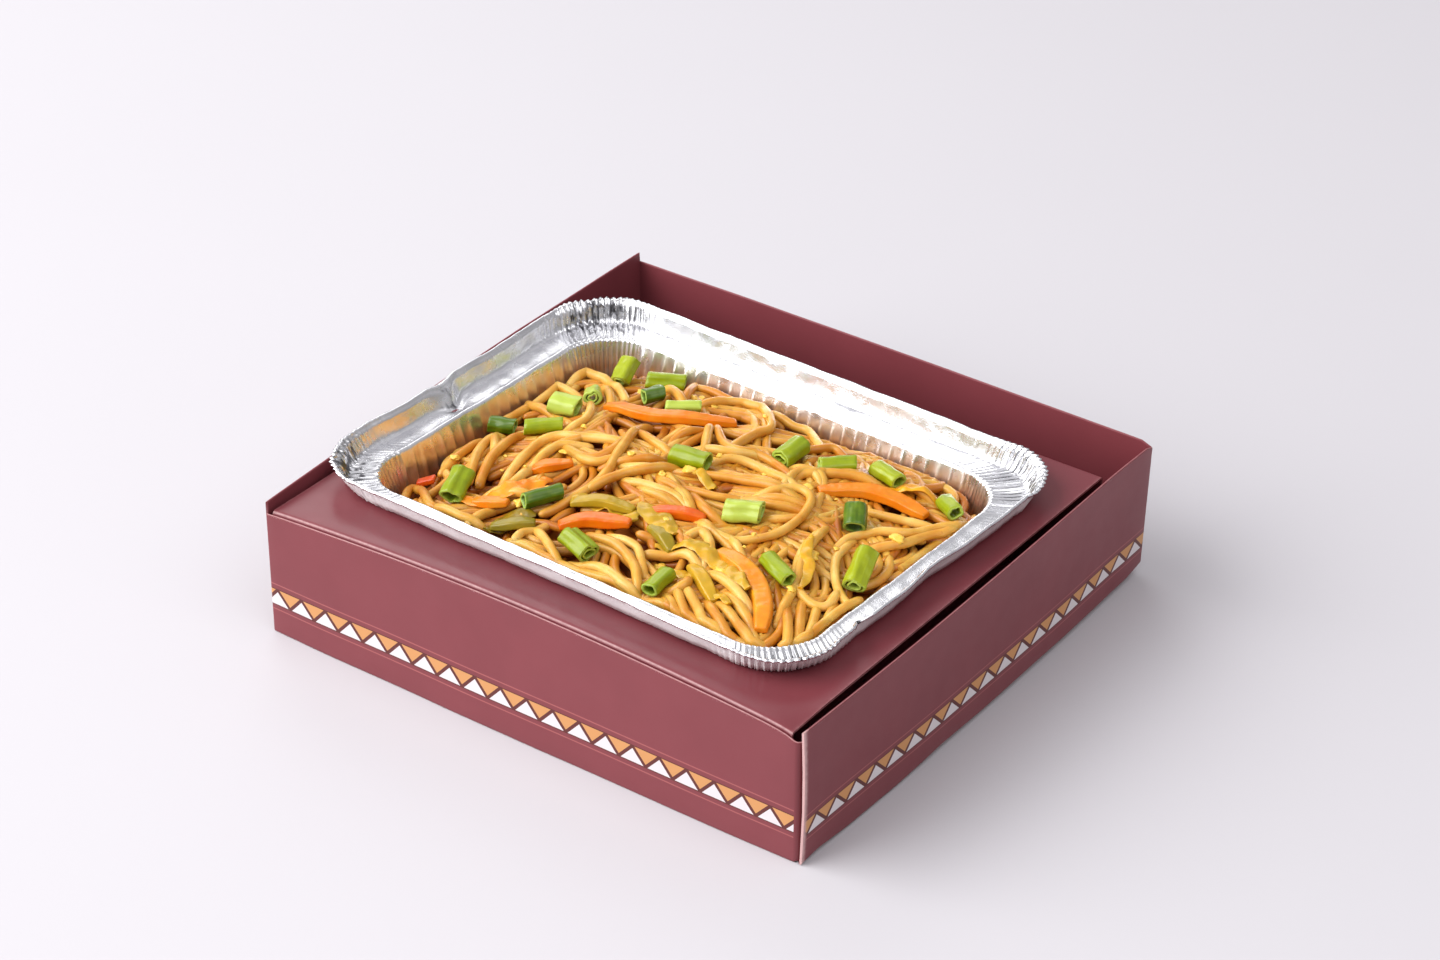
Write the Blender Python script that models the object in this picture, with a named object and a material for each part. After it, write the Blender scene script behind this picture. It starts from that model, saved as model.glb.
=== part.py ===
"""Noodle takeaway box: a folded board carton whose deck carries a foil tray of noodles.

Run it with blender --background --python part.py, or from Blender's text editor.
Sizes are in millimetres and turn into metres as each mesh is made. The origin is the
middle of the carton's underside. The front wall faces -Y, and +Z is up.
"""

import math
import random

import bmesh
import bpy
from mathutils import Matrix, Vector, noise
from mathutils.bvhtree import BVHTree

MM = 0.001
GAP = 0.35  # kept between pieces that touch

# Carton
BOX_LENGTH = 216.7  # along X, at the corners
BOX_DEPTH = 204.7  # along Y, at the corners
BOARD = 0.8
SIDE_BOW = 1.6  # how far the middle of each side wall stands out
BACK_BOW = 0.8
FRONT_BOW = (0.8, -1.8)  # the same for the front wall, at its foot and at its top
FRONT_TOP = 46.7
FRONT_ARCH = 3.2  # how far the middle of the front wall's top rises over its ends
RIGHT_TOP = (50.1, 52.3)  # at the front and at the back
LEFT_TOP = (51.0, 55.8)
BACK_TOP = 52.3
WALL_STEPS = 12
FOLD_STEPS = 3
ROLL_STEPS = 3
CORNER_SLIT = 0.5  # between the front wall's end and the right wall

# Deck, the shelf that carries the tray
DECK_TOP = 47.6
DECK_FOLD = 1.6  # radius of the folds at its front and rear edges
DECK_ROLL = 19.0  # how far back the rise at the front edge dies out
DECK_SIDE_SLIT = 4.6  # between the deck and the right wall
DECK_LEFT_SLIT = 1.4
DECK_CUT_CLEAR = 4.0  # from the tray's opening out to the cut edge of the deck's hole
SLOT_WIDTH = 20.8  # between the deck and the back wall

# Tray
TRAY_PLACE = (-6.2, -6.8)
TRAY_TURN = math.radians(-1.5)
TRAY_HALF = (88.2, 64.0)  # half the opening inside the ledge
TRAY_RADIUS = 20.0
RIM_SQUARE = 0.35  # how much of an outward offset the corner radius grows by
TRAY_LEDGE = 9.6
TRAY_FLARE = 2.4
TRAY_FLANGE = 7.9
TRAY_DEPTH = 38.5
TRAY_TAPER = 10.0  # how far the wall leans in from its top to its foot
TRAY_FOOT = 3.0  # size of the chamfer round its floor
FOIL = 0.5
LEDGE_TOP = DECK_TOP + GAP + FOIL
PLEAT = 0.7  # depth of the pleats in the rim's corners
FLUTE = 0.35  # depth of the flutes down the wall
CORNER_PUSH = {"left": 0.6, "right": 2.2}  # how far the rim's corners flare past its sides
TRAY_CORNER_STEPS = 12
TRAY_LONG_STEPS = 22
TRAY_SHORT_STEPS = 16

# Heap of noodles
NOODLE = 3.9  # thickness of a strand
HEAP_MIDDLE = 1.2  # height over the ledge
HEAP_DROP = {"left": 14.0, "right": 7.0, "back": 10.0, "front": 5.5}
HEAP_BUMP = 1.3
HEAP_BUMP_SIZE = 17.0
CORE_RINGS = 7
CORE_STEPS = (4, 7, 5)  # points round a corner, along a long side and along a short one
CORE_CLEAR = 1.3  # from the tray's wall
STRAND_CELLS = (7, 4)  # one strand starts in each cell of a grid over the heap
STRAND_TRIES = 8
STRAND_SHORTEST = 6  # points
STRAND_SIDES = 5
STRAND_STEP = 5.0
STRAND_BEND = 0.07  # the tightest turn, in radians for each millimetre
STRAND_WANDER = 0.014  # how fast the turn changes
STRAND_MARGIN = 12.0  # from the opening's edge, where strands turn back
STRAND_SINK = 0.35  # how far the centre lies over the heap, as a share of the radius
STRAND_LENGTH = (55.0, 95.0)
STRAND_CLEAR = 1.2  # from toppings and the tray
STRAND_CLIMB = 2.6  # the most that crossing strands lift one off the heap
SEED = 5

# Spring onion, each piece as x, y, turn, nose-up tilt, length, width. Turns are in degrees.
ONIONS = (
    (-66, 50, 100, 24, 9.5, 7.6),
    (-51, 54, 27, 0, 13.5, 7.0),
    (-45, 39, 60, 0, 7.0, 6.0),
    (-63, 28, -54, 16, 8.0, 6.8),
    (-65, 15, 10, 0, 10.0, 8.0),
    (-62, 0, 36, 4, 13.0, 6.4),
    (-78, -3, 20, 0, 9.0, 6.4),
    (-59, -48, 109, 10, 13.0, 8.0),
    (-29, -40, 58, 4, 13.0, 6.4),
    (-3, -53, -17, -6, 12.0, 8.2),
    (-3, 6, 9, 0, 13.0, 8.4),
    (-31, 38, 36, 0, 12.0, 5.2),
    (19, 33, 83, 6, 10.5, 8.0),
    (36, 36, 42, 0, 12.0, 6.4),
    (51, 44, -17, 0, 12.0, 6.6),
    (30, -8, 18, 4, 12.0, 9.0),
    (60, 13, 121, 14, 9.0, 8.0),
    (77, 43, -37, 8, 11.0, 6.2),
    (78, -9, 109, 12, 16.0, 8.0),
    (58, -27, -26, 0, 15.0, 6.2),
    (31, -54, 96, 0, 11.5, 6.4),
)
ONION_SIDES = 10
ONION_WALL = 1.5
ONION_FLAT = 0.86  # height over width
ONION_SLANT = 0.16  # of its cut ends

# Strips of carrot and pepper, each as its route over the heap, width and thickness
CARROTS = (
    (((-54, 24), (-40, 25), (-26, 31), (-12, 43)), 5.2, 3.0),
    (((-16, -47), (-9, -40), (4, -35)), 6.0, 3.4),
    (((5, -25), (13, -20), (21, -17)), 5.0, 3.0),
    (((40, 20), (50, 31), (61, 35), (73, 35)), 6.6, 3.0),
    (((36, -29), (46, -31), (57, -36), (66, -45), (71, -53)), 6.8, 3.2),
    (((-51, -50), (-45, -48), (-39, -46)), 5.4, 3.0),
    (((-46, -25), (-41, -20), (-37, -15)), 5.2, 3.0),
    (((-80, -45), (-75, -42)), 6.0, 3.2),
)
PEPPERS = (
    (((-36, -58), (-31, -55), (-24, -50)), 5.0, 2.6),
    (((-20, -36), (-11, -30), (0, -28)), 5.4, 2.6),
    (((10, -32), (16, -33), (23, -37)), 5.0, 2.6),
    (((33, -40), (41, -44), (50, -50)), 5.0, 2.6),
)
STRIP_STEP = 4.5
SETTLE_STEP = 0.6  # between the places where a topping is tried against the heap

COLORS = {
    "board": ((0.155, 0.028, 0.036), 0.42, 0.0),
    "deck_board": ((0.140, 0.022, 0.030), 0.38, 0.0),
    "foil": ((0.86, 0.86, 0.88), 0.28, 1.0),
    "noodle": ((0.76, 0.42, 0.13), 0.38, 0.0),
    "onion": ((0.20, 0.46, 0.03), 0.40, 0.0),
    "carrot": ((0.88, 0.21, 0.02), 0.40, 0.0),
    "pepper": ((0.42, 0.36, 0.05), 0.40, 0.0),
}


def clear_scene():
    """Removes every object, so that the script can run again."""
    for item in list(bpy.data.objects):
        bpy.data.objects.remove(item, do_unlink=True)


def finish_of(name):
    """A Principled material by its name in COLORS."""
    color, roughness, metallic = COLORS[name]
    material = bpy.data.materials.get(name) or bpy.data.materials.new(name)
    material.use_nodes = True
    shader = material.node_tree.nodes["Principled BSDF"]
    shader.inputs["Base Color"].default_value = (*color, 1.0)
    shader.inputs["Roughness"].default_value = roughness
    shader.inputs["Metallic"].default_value = metallic
    return material


def add_mesh(name, points, faces, finish, smooth=None):
    """An object from points in millimetres, in triangles that face outwards."""
    mesh = bpy.data.meshes.new(name)
    mesh.from_pydata([Vector(p) * MM for p in points], [], faces)
    tidy = bmesh.new()
    tidy.from_mesh(mesh)
    bmesh.ops.recalc_face_normals(tidy, faces=tidy.faces)
    bmesh.ops.triangulate(tidy, faces=tidy.faces)
    tidy.to_mesh(mesh)
    tidy.free()
    mesh.materials.append(finish_of(finish))
    if smooth is not None:
        mesh.shade_smooth()
        mesh.set_sharp_from_angle(angle=math.radians(smooth))
    item = bpy.data.objects.new(name, mesh)
    bpy.context.scene.collection.objects.link(item)
    return item


def combine(item, others, operation):
    """Joins others to item, or cuts them out of it, in one Boolean that is then applied."""
    group = bpy.data.collections.new(item.name + "_others")
    bpy.context.scene.collection.children.link(group)
    for other in others:
        bpy.context.scene.collection.objects.unlink(other)
        group.objects.link(other)
    boolean = item.modifiers.new("combine", "BOOLEAN")
    boolean.operation = operation
    boolean.operand_type = "COLLECTION"
    boolean.collection = group
    boolean.solver = "EXACT"
    graph = bpy.context.evaluated_depsgraph_get()
    result = bpy.data.meshes.new_from_object(item.evaluated_get(graph))
    item.modifiers.clear()
    item.data = result
    for other in others:
        bpy.data.objects.remove(other, do_unlink=True)
    bpy.data.collections.remove(group)


def keep_largest_body(item):
    """Drops loose scraps, and fills sealed hollows by dropping their walls."""
    body = bmesh.new()
    body.from_mesh(item.data)
    left = set(body.faces)
    islands = []
    while left:
        island = []
        reached = [left.pop()]
        while reached:
            face = reached.pop()
            island.append(face)
            for edge in face.edges:
                for other in edge.link_faces:
                    if other in left:
                        left.remove(other)
                        reached.append(other)
        islands.append(island)
    islands.sort(key=len, reverse=True)
    for island in islands[1:]:
        bmesh.ops.delete(body, geom=island, context="FACES")
    body.to_mesh(item.data)
    body.free()


def loft(rows, closed_rows=True):
    """Faces between rows of equal length, with the first and last row closed as caps."""
    count = len(rows[0])
    points = [point for row in rows for point in row]
    faces = []
    for row in range(len(rows) - 1):
        for step in range(count):
            here, there = row * count + step, row * count + (step + 1) % count
            faces.append((here, there, there + count, here + count))
    if closed_rows:
        faces.append(tuple(range(count)))
        faces.append(tuple(range(len(points) - count, len(points))))
    return points, faces


def arc(share):
    """A shallow arch over a length, 0 at both ends and 1 in the middle."""
    return 1.0 - (2.0 * share - 1.0) ** 2


def wall_line(side, inset, bow):
    """Points along one wall's outer face, moved inwards by inset."""
    half_x, half_y = BOX_LENGTH / 2.0, BOX_DEPTH / 2.0
    line = []
    for step in range(WALL_STEPS + 1):
        share = step / WALL_STEPS
        out = bow * arc(share) - inset
        if side in ("front", "back"):
            sign = -1.0 if side == "front" else 1.0
            line.append(((share - 0.5) * BOX_LENGTH, sign * (half_y + out)))
        else:
            sign = -1.0 if side == "left" else 1.0
            line.append((sign * (half_x + out), (share - 0.5) * BOX_DEPTH))
    return line


def wall(side, tops, bows, arch=0.0, trim=0.0):
    """One wall as a bowed slab.

    Its top runs from tops[0] to tops[1] and rises by arch in the middle, bows are those of
    its foot and its top, and trim shortens its last end.
    """
    feet = [wall_line(side, inset, bows[0]) for inset in (0.0, BOARD)]
    heads = [wall_line(side, inset, bows[1]) for inset in (0.0, BOARD)]
    axis = 0 if side in ("front", "back") else 1
    rows = []
    for step in range(WALL_STEPS + 1):
        share = step / WALL_STEPS
        top = tops[0] + (tops[1] - tops[0]) * share + arch * arc(share)
        row = [
            [*feet[0][step], 0.0],
            [*heads[0][step], top],
            [*heads[1][step], top],
            [*feet[1][step], 0.0],
        ]
        if step == WALL_STEPS:
            for point in row:
                point[axis] -= trim
        rows.append(row)
    points, faces = loft(rows)
    return add_mesh("wall_" + side, points, faces, "board")


def slab(name, outline, bottom, top, finish):
    """A flat piece between two heights, from its outline."""
    rows = [[(x, y, bottom) for x, y in outline], [(x, y, top) for x, y in outline]]
    points, faces = loft(rows)
    return add_mesh(name, points, faces, finish)


def box_outline(inset):
    """The carton's bowed outline, moved inwards, counter-clockwise from the front left."""
    runs = (
        wall_line("front", inset, FRONT_BOW[0]),
        wall_line("right", inset, SIDE_BOW),
        wall_line("back", inset, BACK_BOW)[::-1],
        wall_line("left", inset, SIDE_BOW)[::-1],
    )
    half_x, half_y = BOX_LENGTH / 2.0 - inset, BOX_DEPTH / 2.0 - inset
    line = []
    for run in runs:
        line.append((math.copysign(half_x, run[0][0]), math.copysign(half_y, run[0][1])))
        line.extend(run[1:-1])
    return line


def make_carton():
    """The base and four walls. The right wall's front end stands free of the front wall."""
    base = slab("carton", box_outline(BOARD / 2.0), 0.0, BOARD, "board")
    end = BOARD + CORNER_SLIT
    walls = [
        wall("front", (FRONT_TOP, FRONT_TOP), FRONT_BOW, FRONT_ARCH, end),
        wall("right", RIGHT_TOP, (SIDE_BOW, SIDE_BOW)),
        wall("back", (BACK_TOP, BACK_TOP), (BACK_BOW, BACK_BOW)),
        wall("left", LEFT_TOP, (SIDE_BOW, SIDE_BOW)),
    ]
    combine(base, walls, "UNION")
    keep_largest_body(base)
    return base


def deck_profile(x):
    """The deck's section at x: front leg, fold, shelf and rear leg as one bent sheet."""
    share = min(1.0, max(0.0, x / BOX_LENGTH + 0.5))
    inside = BOARD + GAP - BOX_DEPTH / 2.0
    front_foot = inside - FRONT_BOW[0] * arc(share)
    front = inside - FRONT_BOW[1] * arc(share)
    rear = BOX_DEPTH / 2.0 - BOARD - SLOT_WIDTH
    foot = BOARD + GAP
    rise = FRONT_ARCH * arc(share)
    outer, inner = [(front_foot, foot)], [(front_foot + BOARD, foot)]
    for step in range(FOLD_STEPS + 1):
        angle = math.pi / 2.0 * step / FOLD_STEPS
        for line, radius in ((outer, DECK_FOLD), (inner, DECK_FOLD - BOARD)):
            y = front + DECK_FOLD - math.cos(angle) * radius
            line.append((y, DECK_TOP + rise - DECK_FOLD + math.sin(angle) * radius))
    for step in range(1, ROLL_STEPS + 1):
        along = step / ROLL_STEPS
        height = DECK_TOP + rise * 0.5 * (1.0 + math.cos(math.pi * along))
        y = front + DECK_FOLD + DECK_ROLL * along
        outer.append((y, height))
        inner.append((y, height - BOARD))
    for step in range(FOLD_STEPS + 1):
        angle = math.pi / 2.0 * (1.0 - step / FOLD_STEPS)
        for line, radius in ((outer, DECK_FOLD), (inner, DECK_FOLD - BOARD)):
            y = rear - DECK_FOLD + math.cos(angle) * radius
            line.append((y, DECK_TOP - DECK_FOLD + math.sin(angle) * radius))
    outer.append((rear, foot))
    inner.append((rear - BOARD, foot))
    return [(x, y, z) for y, z in outer + inner[::-1]]


def make_deck():
    """The shelf with its front and rear legs and the opening that the tray hangs in."""
    left = -BOX_LENGTH / 2.0 + BOARD + DECK_LEFT_SLIT
    right = BOX_LENGTH / 2.0 - BOARD - DECK_SIDE_SLIT
    rows = []
    for step in range(WALL_STEPS + 1):
        rows.append(deck_profile(left + (right - left) * step / WALL_STEPS))
    points, faces = loft(rows)
    deck = add_mesh("deck", points, faces, "deck_board")
    cut = []
    for x, y, _, _, _ in tray_ring(DECK_CUT_CLEAR, 6, 1, 1):
        cut.append(to_box(x, y))
    cutter = slab("deck_cutter", cut, DECK_TOP - 2.0 * DECK_FOLD, DECK_TOP + BOARD, "deck_board")
    combine(deck, [cutter], "DIFFERENCE")
    return deck


def to_box(x, y):
    """A point of the tray's own frame in the carton's frame."""
    turn_c, turn_s = math.cos(TRAY_TURN), math.sin(TRAY_TURN)
    return (TRAY_PLACE[0] + x * turn_c - y * turn_s, TRAY_PLACE[1] + x * turn_s + y * turn_c)


def tray_ring(offset, corner_steps, long_steps, short_steps):
    """Points round the tray's opening, moved outwards by offset.

    Each is x, y, its outward direction, and how much of a corner it is, from 0 to 1.
    """
    radius = max(2.0, TRAY_RADIUS + offset * (RIM_SQUARE if offset > 0.0 else 1.0))
    half_x, half_y = TRAY_HALF[0] + offset, TRAY_HALF[1] + offset
    centers = (
        (half_x - radius, half_y - radius, 0.0, long_steps),
        (-half_x + radius, half_y - radius, 90.0, short_steps),
        (-half_x + radius, -half_y + radius, 180.0, long_steps),
        (half_x - radius, -half_y + radius, 270.0, short_steps),
    )
    ring = []
    for index, (cx, cy, start, side_steps) in enumerate(centers):
        for step in range(corner_steps + 1):
            share = step / corner_steps
            angle = math.radians(start + 90.0 * share)
            out = (math.cos(angle), math.sin(angle))
            corner = math.sin(math.pi * share)
            ring.append((cx + radius * out[0], cy + radius * out[1], *out, corner))
        nx, ny, _, _ = centers[(index + 1) % 4]
        end = math.radians(start + 90.0)
        out = (math.cos(end), math.sin(end))
        from_x, from_y = cx + radius * out[0], cy + radius * out[1]
        to_x, to_y = nx + radius * out[0], ny + radius * out[1]
        for step in range(1, side_steps):
            share = step / side_steps
            ring.append(
                (from_x + (to_x - from_x) * share, from_y + (to_y - from_y) * share, *out, 0.0)
            )
    return ring


def tray_row(offset, height, pleat=0.0, flute=0.0, flare=0.0):
    """One row of the tray: pleated in the corners, fluted along the sides.

    flare is the share of CORNER_PUSH by which its corners stand out.
    """
    row = []
    ring = tray_ring(offset, TRAY_CORNER_STEPS, TRAY_LONG_STEPS, TRAY_SHORT_STEPS)
    for index, (x, y, out_x, out_y, corner) in enumerate(ring):
        side = 1.0 if index % 2 else -1.0
        depth = pleat if corner > 0.05 else flute
        push = CORNER_PUSH["right" if x > 0.0 else "left"]
        out = side * depth + flare * push * corner
        row.append((*to_box(x + out_x * out, y + out_y * out), height))
    return row


def make_tray():
    """A thin foil shell: floor, leaning fluted wall, flat ledge and upright pleated flange."""
    floor = LEDGE_TOP - TRAY_DEPTH
    foot = -TRAY_TAPER
    edge = TRAY_LEDGE
    rim = TRAY_LEDGE + TRAY_FLARE
    rim_top = LEDGE_TOP + TRAY_FLANGE
    under = LEDGE_TOP - FOIL
    rows = [
        tray_row(foot - TRAY_FOOT, floor - FOIL),
        tray_row(foot + FOIL, floor + TRAY_FOOT, 0.0, FLUTE),
        tray_row(FOIL, under, PLEAT / 2.0, FLUTE),
        tray_row(edge + FOIL, under, PLEAT, 0.0, 0.33),
        tray_row(rim + FOIL, rim_top, PLEAT, 0.0, 1.0),
        tray_row(rim, rim_top, PLEAT, 0.0, 1.0),
        tray_row(edge, LEDGE_TOP, PLEAT, 0.0, 0.33),
        tray_row(0.0, LEDGE_TOP, PLEAT / 2.0, FLUTE),
        tray_row(foot, floor + TRAY_FOOT, 0.0, FLUTE),
        tray_row(foot - TRAY_FOOT, floor),
    ]
    points, faces = loft(rows)
    return add_mesh("tray", points, faces, "foil", smooth=50)


def heap_height(x, y):
    """The bare heap's height at a place in the tray's frame."""
    u, v = x / TRAY_HALF[0], y / TRAY_HALF[1]
    if u < 0.0:
        side = HEAP_DROP["left"] * (-u) ** 2.4
    else:
        side = HEAP_DROP["right"] * u**3.0
    if v > 0.0:
        end = HEAP_DROP["back"] * v**2.4
    else:
        end = HEAP_DROP["front"] * (-v) ** 3.0
    bumps = noise.noise(Vector((x, y, 40.0)) / HEAP_BUMP_SIZE)
    return LEDGE_TOP + HEAP_MIDDLE - math.hypot(side, end) + HEAP_BUMP * bumps * 2.0


def wall_offset(height):
    """The tray wall's offset from the opening's edge at a height."""
    foot = LEDGE_TOP - TRAY_DEPTH + TRAY_FOOT
    share = (LEDGE_TOP - height) / (LEDGE_TOP - foot)
    return -TRAY_TAPER * min(1.0, max(0.0, share))


def make_core():
    """The heap's body: it fills the tray, clear of its wall, under a bumpy top."""
    floor = LEDGE_TOP - TRAY_DEPTH + GAP
    rows = []
    bottom = tray_ring(-TRAY_TAPER - CORE_CLEAR - TRAY_FOOT, *CORE_STEPS)
    rows.append([(*to_box(x, y), floor) for x, y, _, _, _ in bottom])
    foot = tray_ring(-TRAY_TAPER - CORE_CLEAR, *CORE_STEPS)
    rows.append([(*to_box(x, y), floor + TRAY_FOOT) for x, y, _, _, _ in foot])
    rim = []
    for x, y, out_x, out_y, _ in tray_ring(0.0, *CORE_STEPS):
        height = heap_height(x, y)
        inward = wall_offset(height) - CORE_CLEAR
        px, py = x + out_x * inward, y + out_y * inward
        rim.append((px, py))
    rows.append([(*to_box(x, y), heap_height(x, y)) for x, y in rim])
    for ring in range(1, CORE_RINGS):
        scale = 1.0 - ring / CORE_RINGS
        row = []
        for x, y in rim:
            row.append((*to_box(x * scale, y * scale), heap_height(x * scale, y * scale)))
        rows.append(row)
    points, faces = loft(rows, closed_rows=False)
    count = len(bottom)
    faces.append(tuple(range(count)))
    points.append((*to_box(0.0, 0.0), heap_height(0.0, 0.0)))
    last = len(points) - 1 - count
    for step in range(count):
        faces.append((last + step, last + (step + 1) % count, len(points) - 1))
    return add_mesh("noodles", points, faces, "noodle", smooth=60)


def tree_of(item):
    """The object's surface, for measuring to, in metres."""
    return BVHTree.FromPolygons(
        [vert.co.copy() for vert in item.data.vertices],
        [tuple(face.vertices) for face in item.data.polygons],
    )


def surface_under(tree, x, y):
    """Height of the surface straight under a point, in millimetres."""
    hit = tree.ray_cast(Vector((x * MM, y * MM, 0.2)), Vector((0.0, 0.0, -1.0)))[0]
    return hit.z / MM if hit else None


def settle(item, tree):
    """Lifts or lowers a topping until its underside lies just clear of the bare heap."""
    own = tree_of(item)
    corners = [vert.co / MM for vert in item.data.vertices]
    low = [min(corner[axis] for corner in corners) for axis in (0, 1)]
    high = [max(corner[axis] for corner in corners) for axis in (0, 1)]
    needs = []
    for step_x in range(int((high[0] - low[0]) / SETTLE_STEP) + 1):
        for step_y in range(int((high[1] - low[1]) / SETTLE_STEP) + 1):
            x, y = low[0] + step_x * SETTLE_STEP, low[1] + step_y * SETTLE_STEP
            under = own.ray_cast(Vector((x * MM, y * MM, 0.0)), Vector((0.0, 0.0, 1.0)))[0]
            heap = surface_under(tree, x, y)
            if under is not None and heap is not None:
                needs.append(heap + GAP - under.z / MM)
    item.data.transform(Matrix.Translation((0.0, 0.0, max(needs) * MM)))


def make_onion(index, place, tree):
    """A short cut length of spring onion: a slightly flattened open tube."""
    x, y, turn, tilt, length, width = place
    outer = width / 2.0
    inner = outer - ONION_WALL
    rows = []
    for along, radius in ((-0.5, outer), (0.5, outer), (0.5, inner), (-0.5, inner)):
        row = []
        for step in range(ONION_SIDES):
            angle = 2.0 * math.pi * step / ONION_SIDES
            across, up = math.cos(angle) * radius, math.sin(angle) * radius * ONION_FLAT
            row.append((along * length + ONION_SLANT * up, across, up))
        rows.append(row)
    count = ONION_SIDES
    points = [point for row in rows for point in row]
    faces = []
    for row in range(4):
        for step in range(count):
            here, there = row * count + step, row * count + (step + 1) % count
            up_here, up_there = (here + count) % (4 * count), (there + count) % (4 * count)
            faces.append((here, there, up_there, up_here))
    place_x, place_y = to_box(x, y)
    pose = (
        Matrix.Translation((place_x, place_y, LEDGE_TOP))
        @ Matrix.Rotation(math.radians(turn), 4, "Z")
        @ Matrix.Rotation(math.radians(-tilt), 4, "Y")
    )
    points = [pose @ Vector(point) for point in points]
    onion = add_mesh("onion_%02d" % index, points, faces, "onion", smooth=50)
    settle(onion, tree)
    return onion


def curve_through(knots, step):
    """Points about step apart on a smooth curve through the knots."""
    knots = [Vector(knot) for knot in knots]
    ends = [2 * knots[0] - knots[1]] + knots + [2 * knots[-1] - knots[-2]]
    line = []
    for index in range(1, len(ends) - 2):
        a, b, c, d = ends[index - 1 : index + 3]
        parts = max(1, round((c - b).length / step))
        for part in range(parts):
            t = part / parts
            line.append(
                0.5
                * (
                    2 * b
                    + (c - a) * t
                    + (2 * a - 5 * b + 4 * c - d) * t**2
                    + (3 * b - a - 3 * c + d) * t**3
                )
            )
    line.append(knots[-1])
    return line


def make_strip(name, strip, finish, tree):
    """A strip of vegetable that bends over the heap, thinner at both ends."""
    knots, width, thickness = strip
    line = curve_through(knots, STRIP_STEP)
    rows = []
    for index, here in enumerate(line):
        ahead = line[min(index + 1, len(line) - 1)] - line[max(index - 1, 0)]
        across = Vector((-ahead.y, ahead.x)).normalized()
        share = index / (len(line) - 1)
        narrow = 0.55 + 0.45 * math.sin(math.pi * min(1.0, max(0.0, share))) ** 0.5
        base = max(
            surface_under(tree, *to_box(*(here + across * side * width / 2.0)))
            for side in (-0.5, 0.0, 0.5)
        )
        row = []
        for side, up in ((-1.0, 0.2), (-0.8, 1.0), (0.8, 1.0), (1.0, 0.2), (0.7, 0.0), (-0.7, 0.0)):
            x, y = here + across * side * narrow * width / 2.0
            row.append((*to_box(x, y), base + up * thickness * narrow))
        rows.append(row)
    points, faces = loft(rows)
    item = add_mesh(name, points, faces, finish, smooth=50)
    settle(item, tree)
    return item


def strand_route(rng, start):
    """A wandering line inside the opening, in the tray's frame."""
    reach_x, reach_y = TRAY_HALF[0] - STRAND_MARGIN, TRAY_HALF[1] - STRAND_MARGIN
    here = Vector(start)
    heading = rng.uniform(0.0, 2.0 * math.pi)
    bend = rng.uniform(-0.05, 0.05)
    line = []
    for _ in range(int(rng.uniform(*STRAND_LENGTH) / STRAND_STEP)):
        line.append(here.copy())
        bend += rng.uniform(-STRAND_WANDER, STRAND_WANDER)
        bend = max(-STRAND_BEND, min(STRAND_BEND, bend))
        inside = max(abs(here.x) / reach_x, abs(here.y) / reach_y)
        if inside > 0.85:
            to_middle = math.atan2(-here.y, -here.x)
            turn = (to_middle - heading + math.pi) % (2.0 * math.pi) - math.pi
            heading += math.copysign(min(abs(turn), 0.4), turn)
        heading += bend * STRAND_STEP
        here = here + Vector((math.cos(heading), math.sin(heading))) * STRAND_STEP
    return line


def clear_part(line, tree, obstacles, tops):
    """The longest part of a route that lies on the heap clear of every other piece."""
    radius = NOODLE / 2.0
    best, run = [], []
    for point in line:
        x, y = to_box(point.x, point.y)
        below = surface_under(tree, x, y)
        keep = below is not None
        if keep:
            cell = (round(x / 3.0), round(y / 3.0))
            crossed = tops.get(cell, below)
            height = min(max(below, crossed), below + STRAND_CLIMB) + radius * STRAND_SINK
            center = Vector((x, y, height))
            for obstacle in obstacles:
                near = obstacle.find_nearest(center * MM, (radius + STRAND_CLEAR) * MM)
                if near[0] is not None:
                    keep = False
        if keep:
            run.append(center)
        else:
            best = max(best, run, key=len)
            run = []
    return max(best, run, key=len)


def tube(name, line, radius, sides, finish):
    """A round strand along a line, with blunt ends."""
    rows = []
    for index, here in enumerate(line):
        ahead = (line[min(index + 1, len(line) - 1)] - line[max(index - 1, 0)]).normalized()
        across = ahead.cross(Vector((0.0, 0.0, 1.0))).normalized()
        up = across.cross(ahead)
        row = []
        for side in range(sides):
            angle = 2.0 * math.pi * side / sides
            row.append(here + (across * math.cos(angle) + up * math.sin(angle)) * radius)
        rows.append(row)
    points, faces = loft(rows)
    return add_mesh(name, points, faces, finish)


def ease_heights(line):
    """Smooths a strand's climbs over the strands that it crosses."""
    for _ in range(2):
        heights = [point.z for point in line]
        for index in range(1, len(line) - 1):
            line[index].z = max(heights[index - 1 : index + 2]) * 0.6 + heights[index] * 0.4


def add_strands(core, obstacles):
    """Fuses strands that show to the core, one from each cell of a grid over the heap."""
    rng = random.Random(SEED)
    bare = tree_of(core)
    cells = [(i, j) for i in range(STRAND_CELLS[0]) for j in range(STRAND_CELLS[1])]
    rng.shuffle(cells)
    tops = {}
    strands = []
    for index, cell in enumerate(cells):
        best = []
        for _ in range(STRAND_TRIES):
            start = [
                ((cell[axis] + rng.random()) / STRAND_CELLS[axis] * 2.0 - 1.0)
                * (TRAY_HALF[axis] - 9.0)
                for axis in (0, 1)
            ]
            best = max(best, clear_part(strand_route(rng, start), bare, obstacles, tops), key=len)
        if len(best) < STRAND_SHORTEST:
            continue
        ease_heights(best)
        for point in best:
            for side_x in (-1, 0, 1):
                for side_y in (-1, 0, 1):
                    near = (round(point.x / 3.0) + side_x, round(point.y / 3.0) + side_y)
                    tops[near] = max(tops.get(near, 0.0), point.z + NOODLE * 0.3)
        strands.append(tube("strand_%02d" % index, best, NOODLE / 2.0, STRAND_SIDES, "noodle"))
    combine(core, strands, "UNION")
    keep_largest_body(core)


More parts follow.
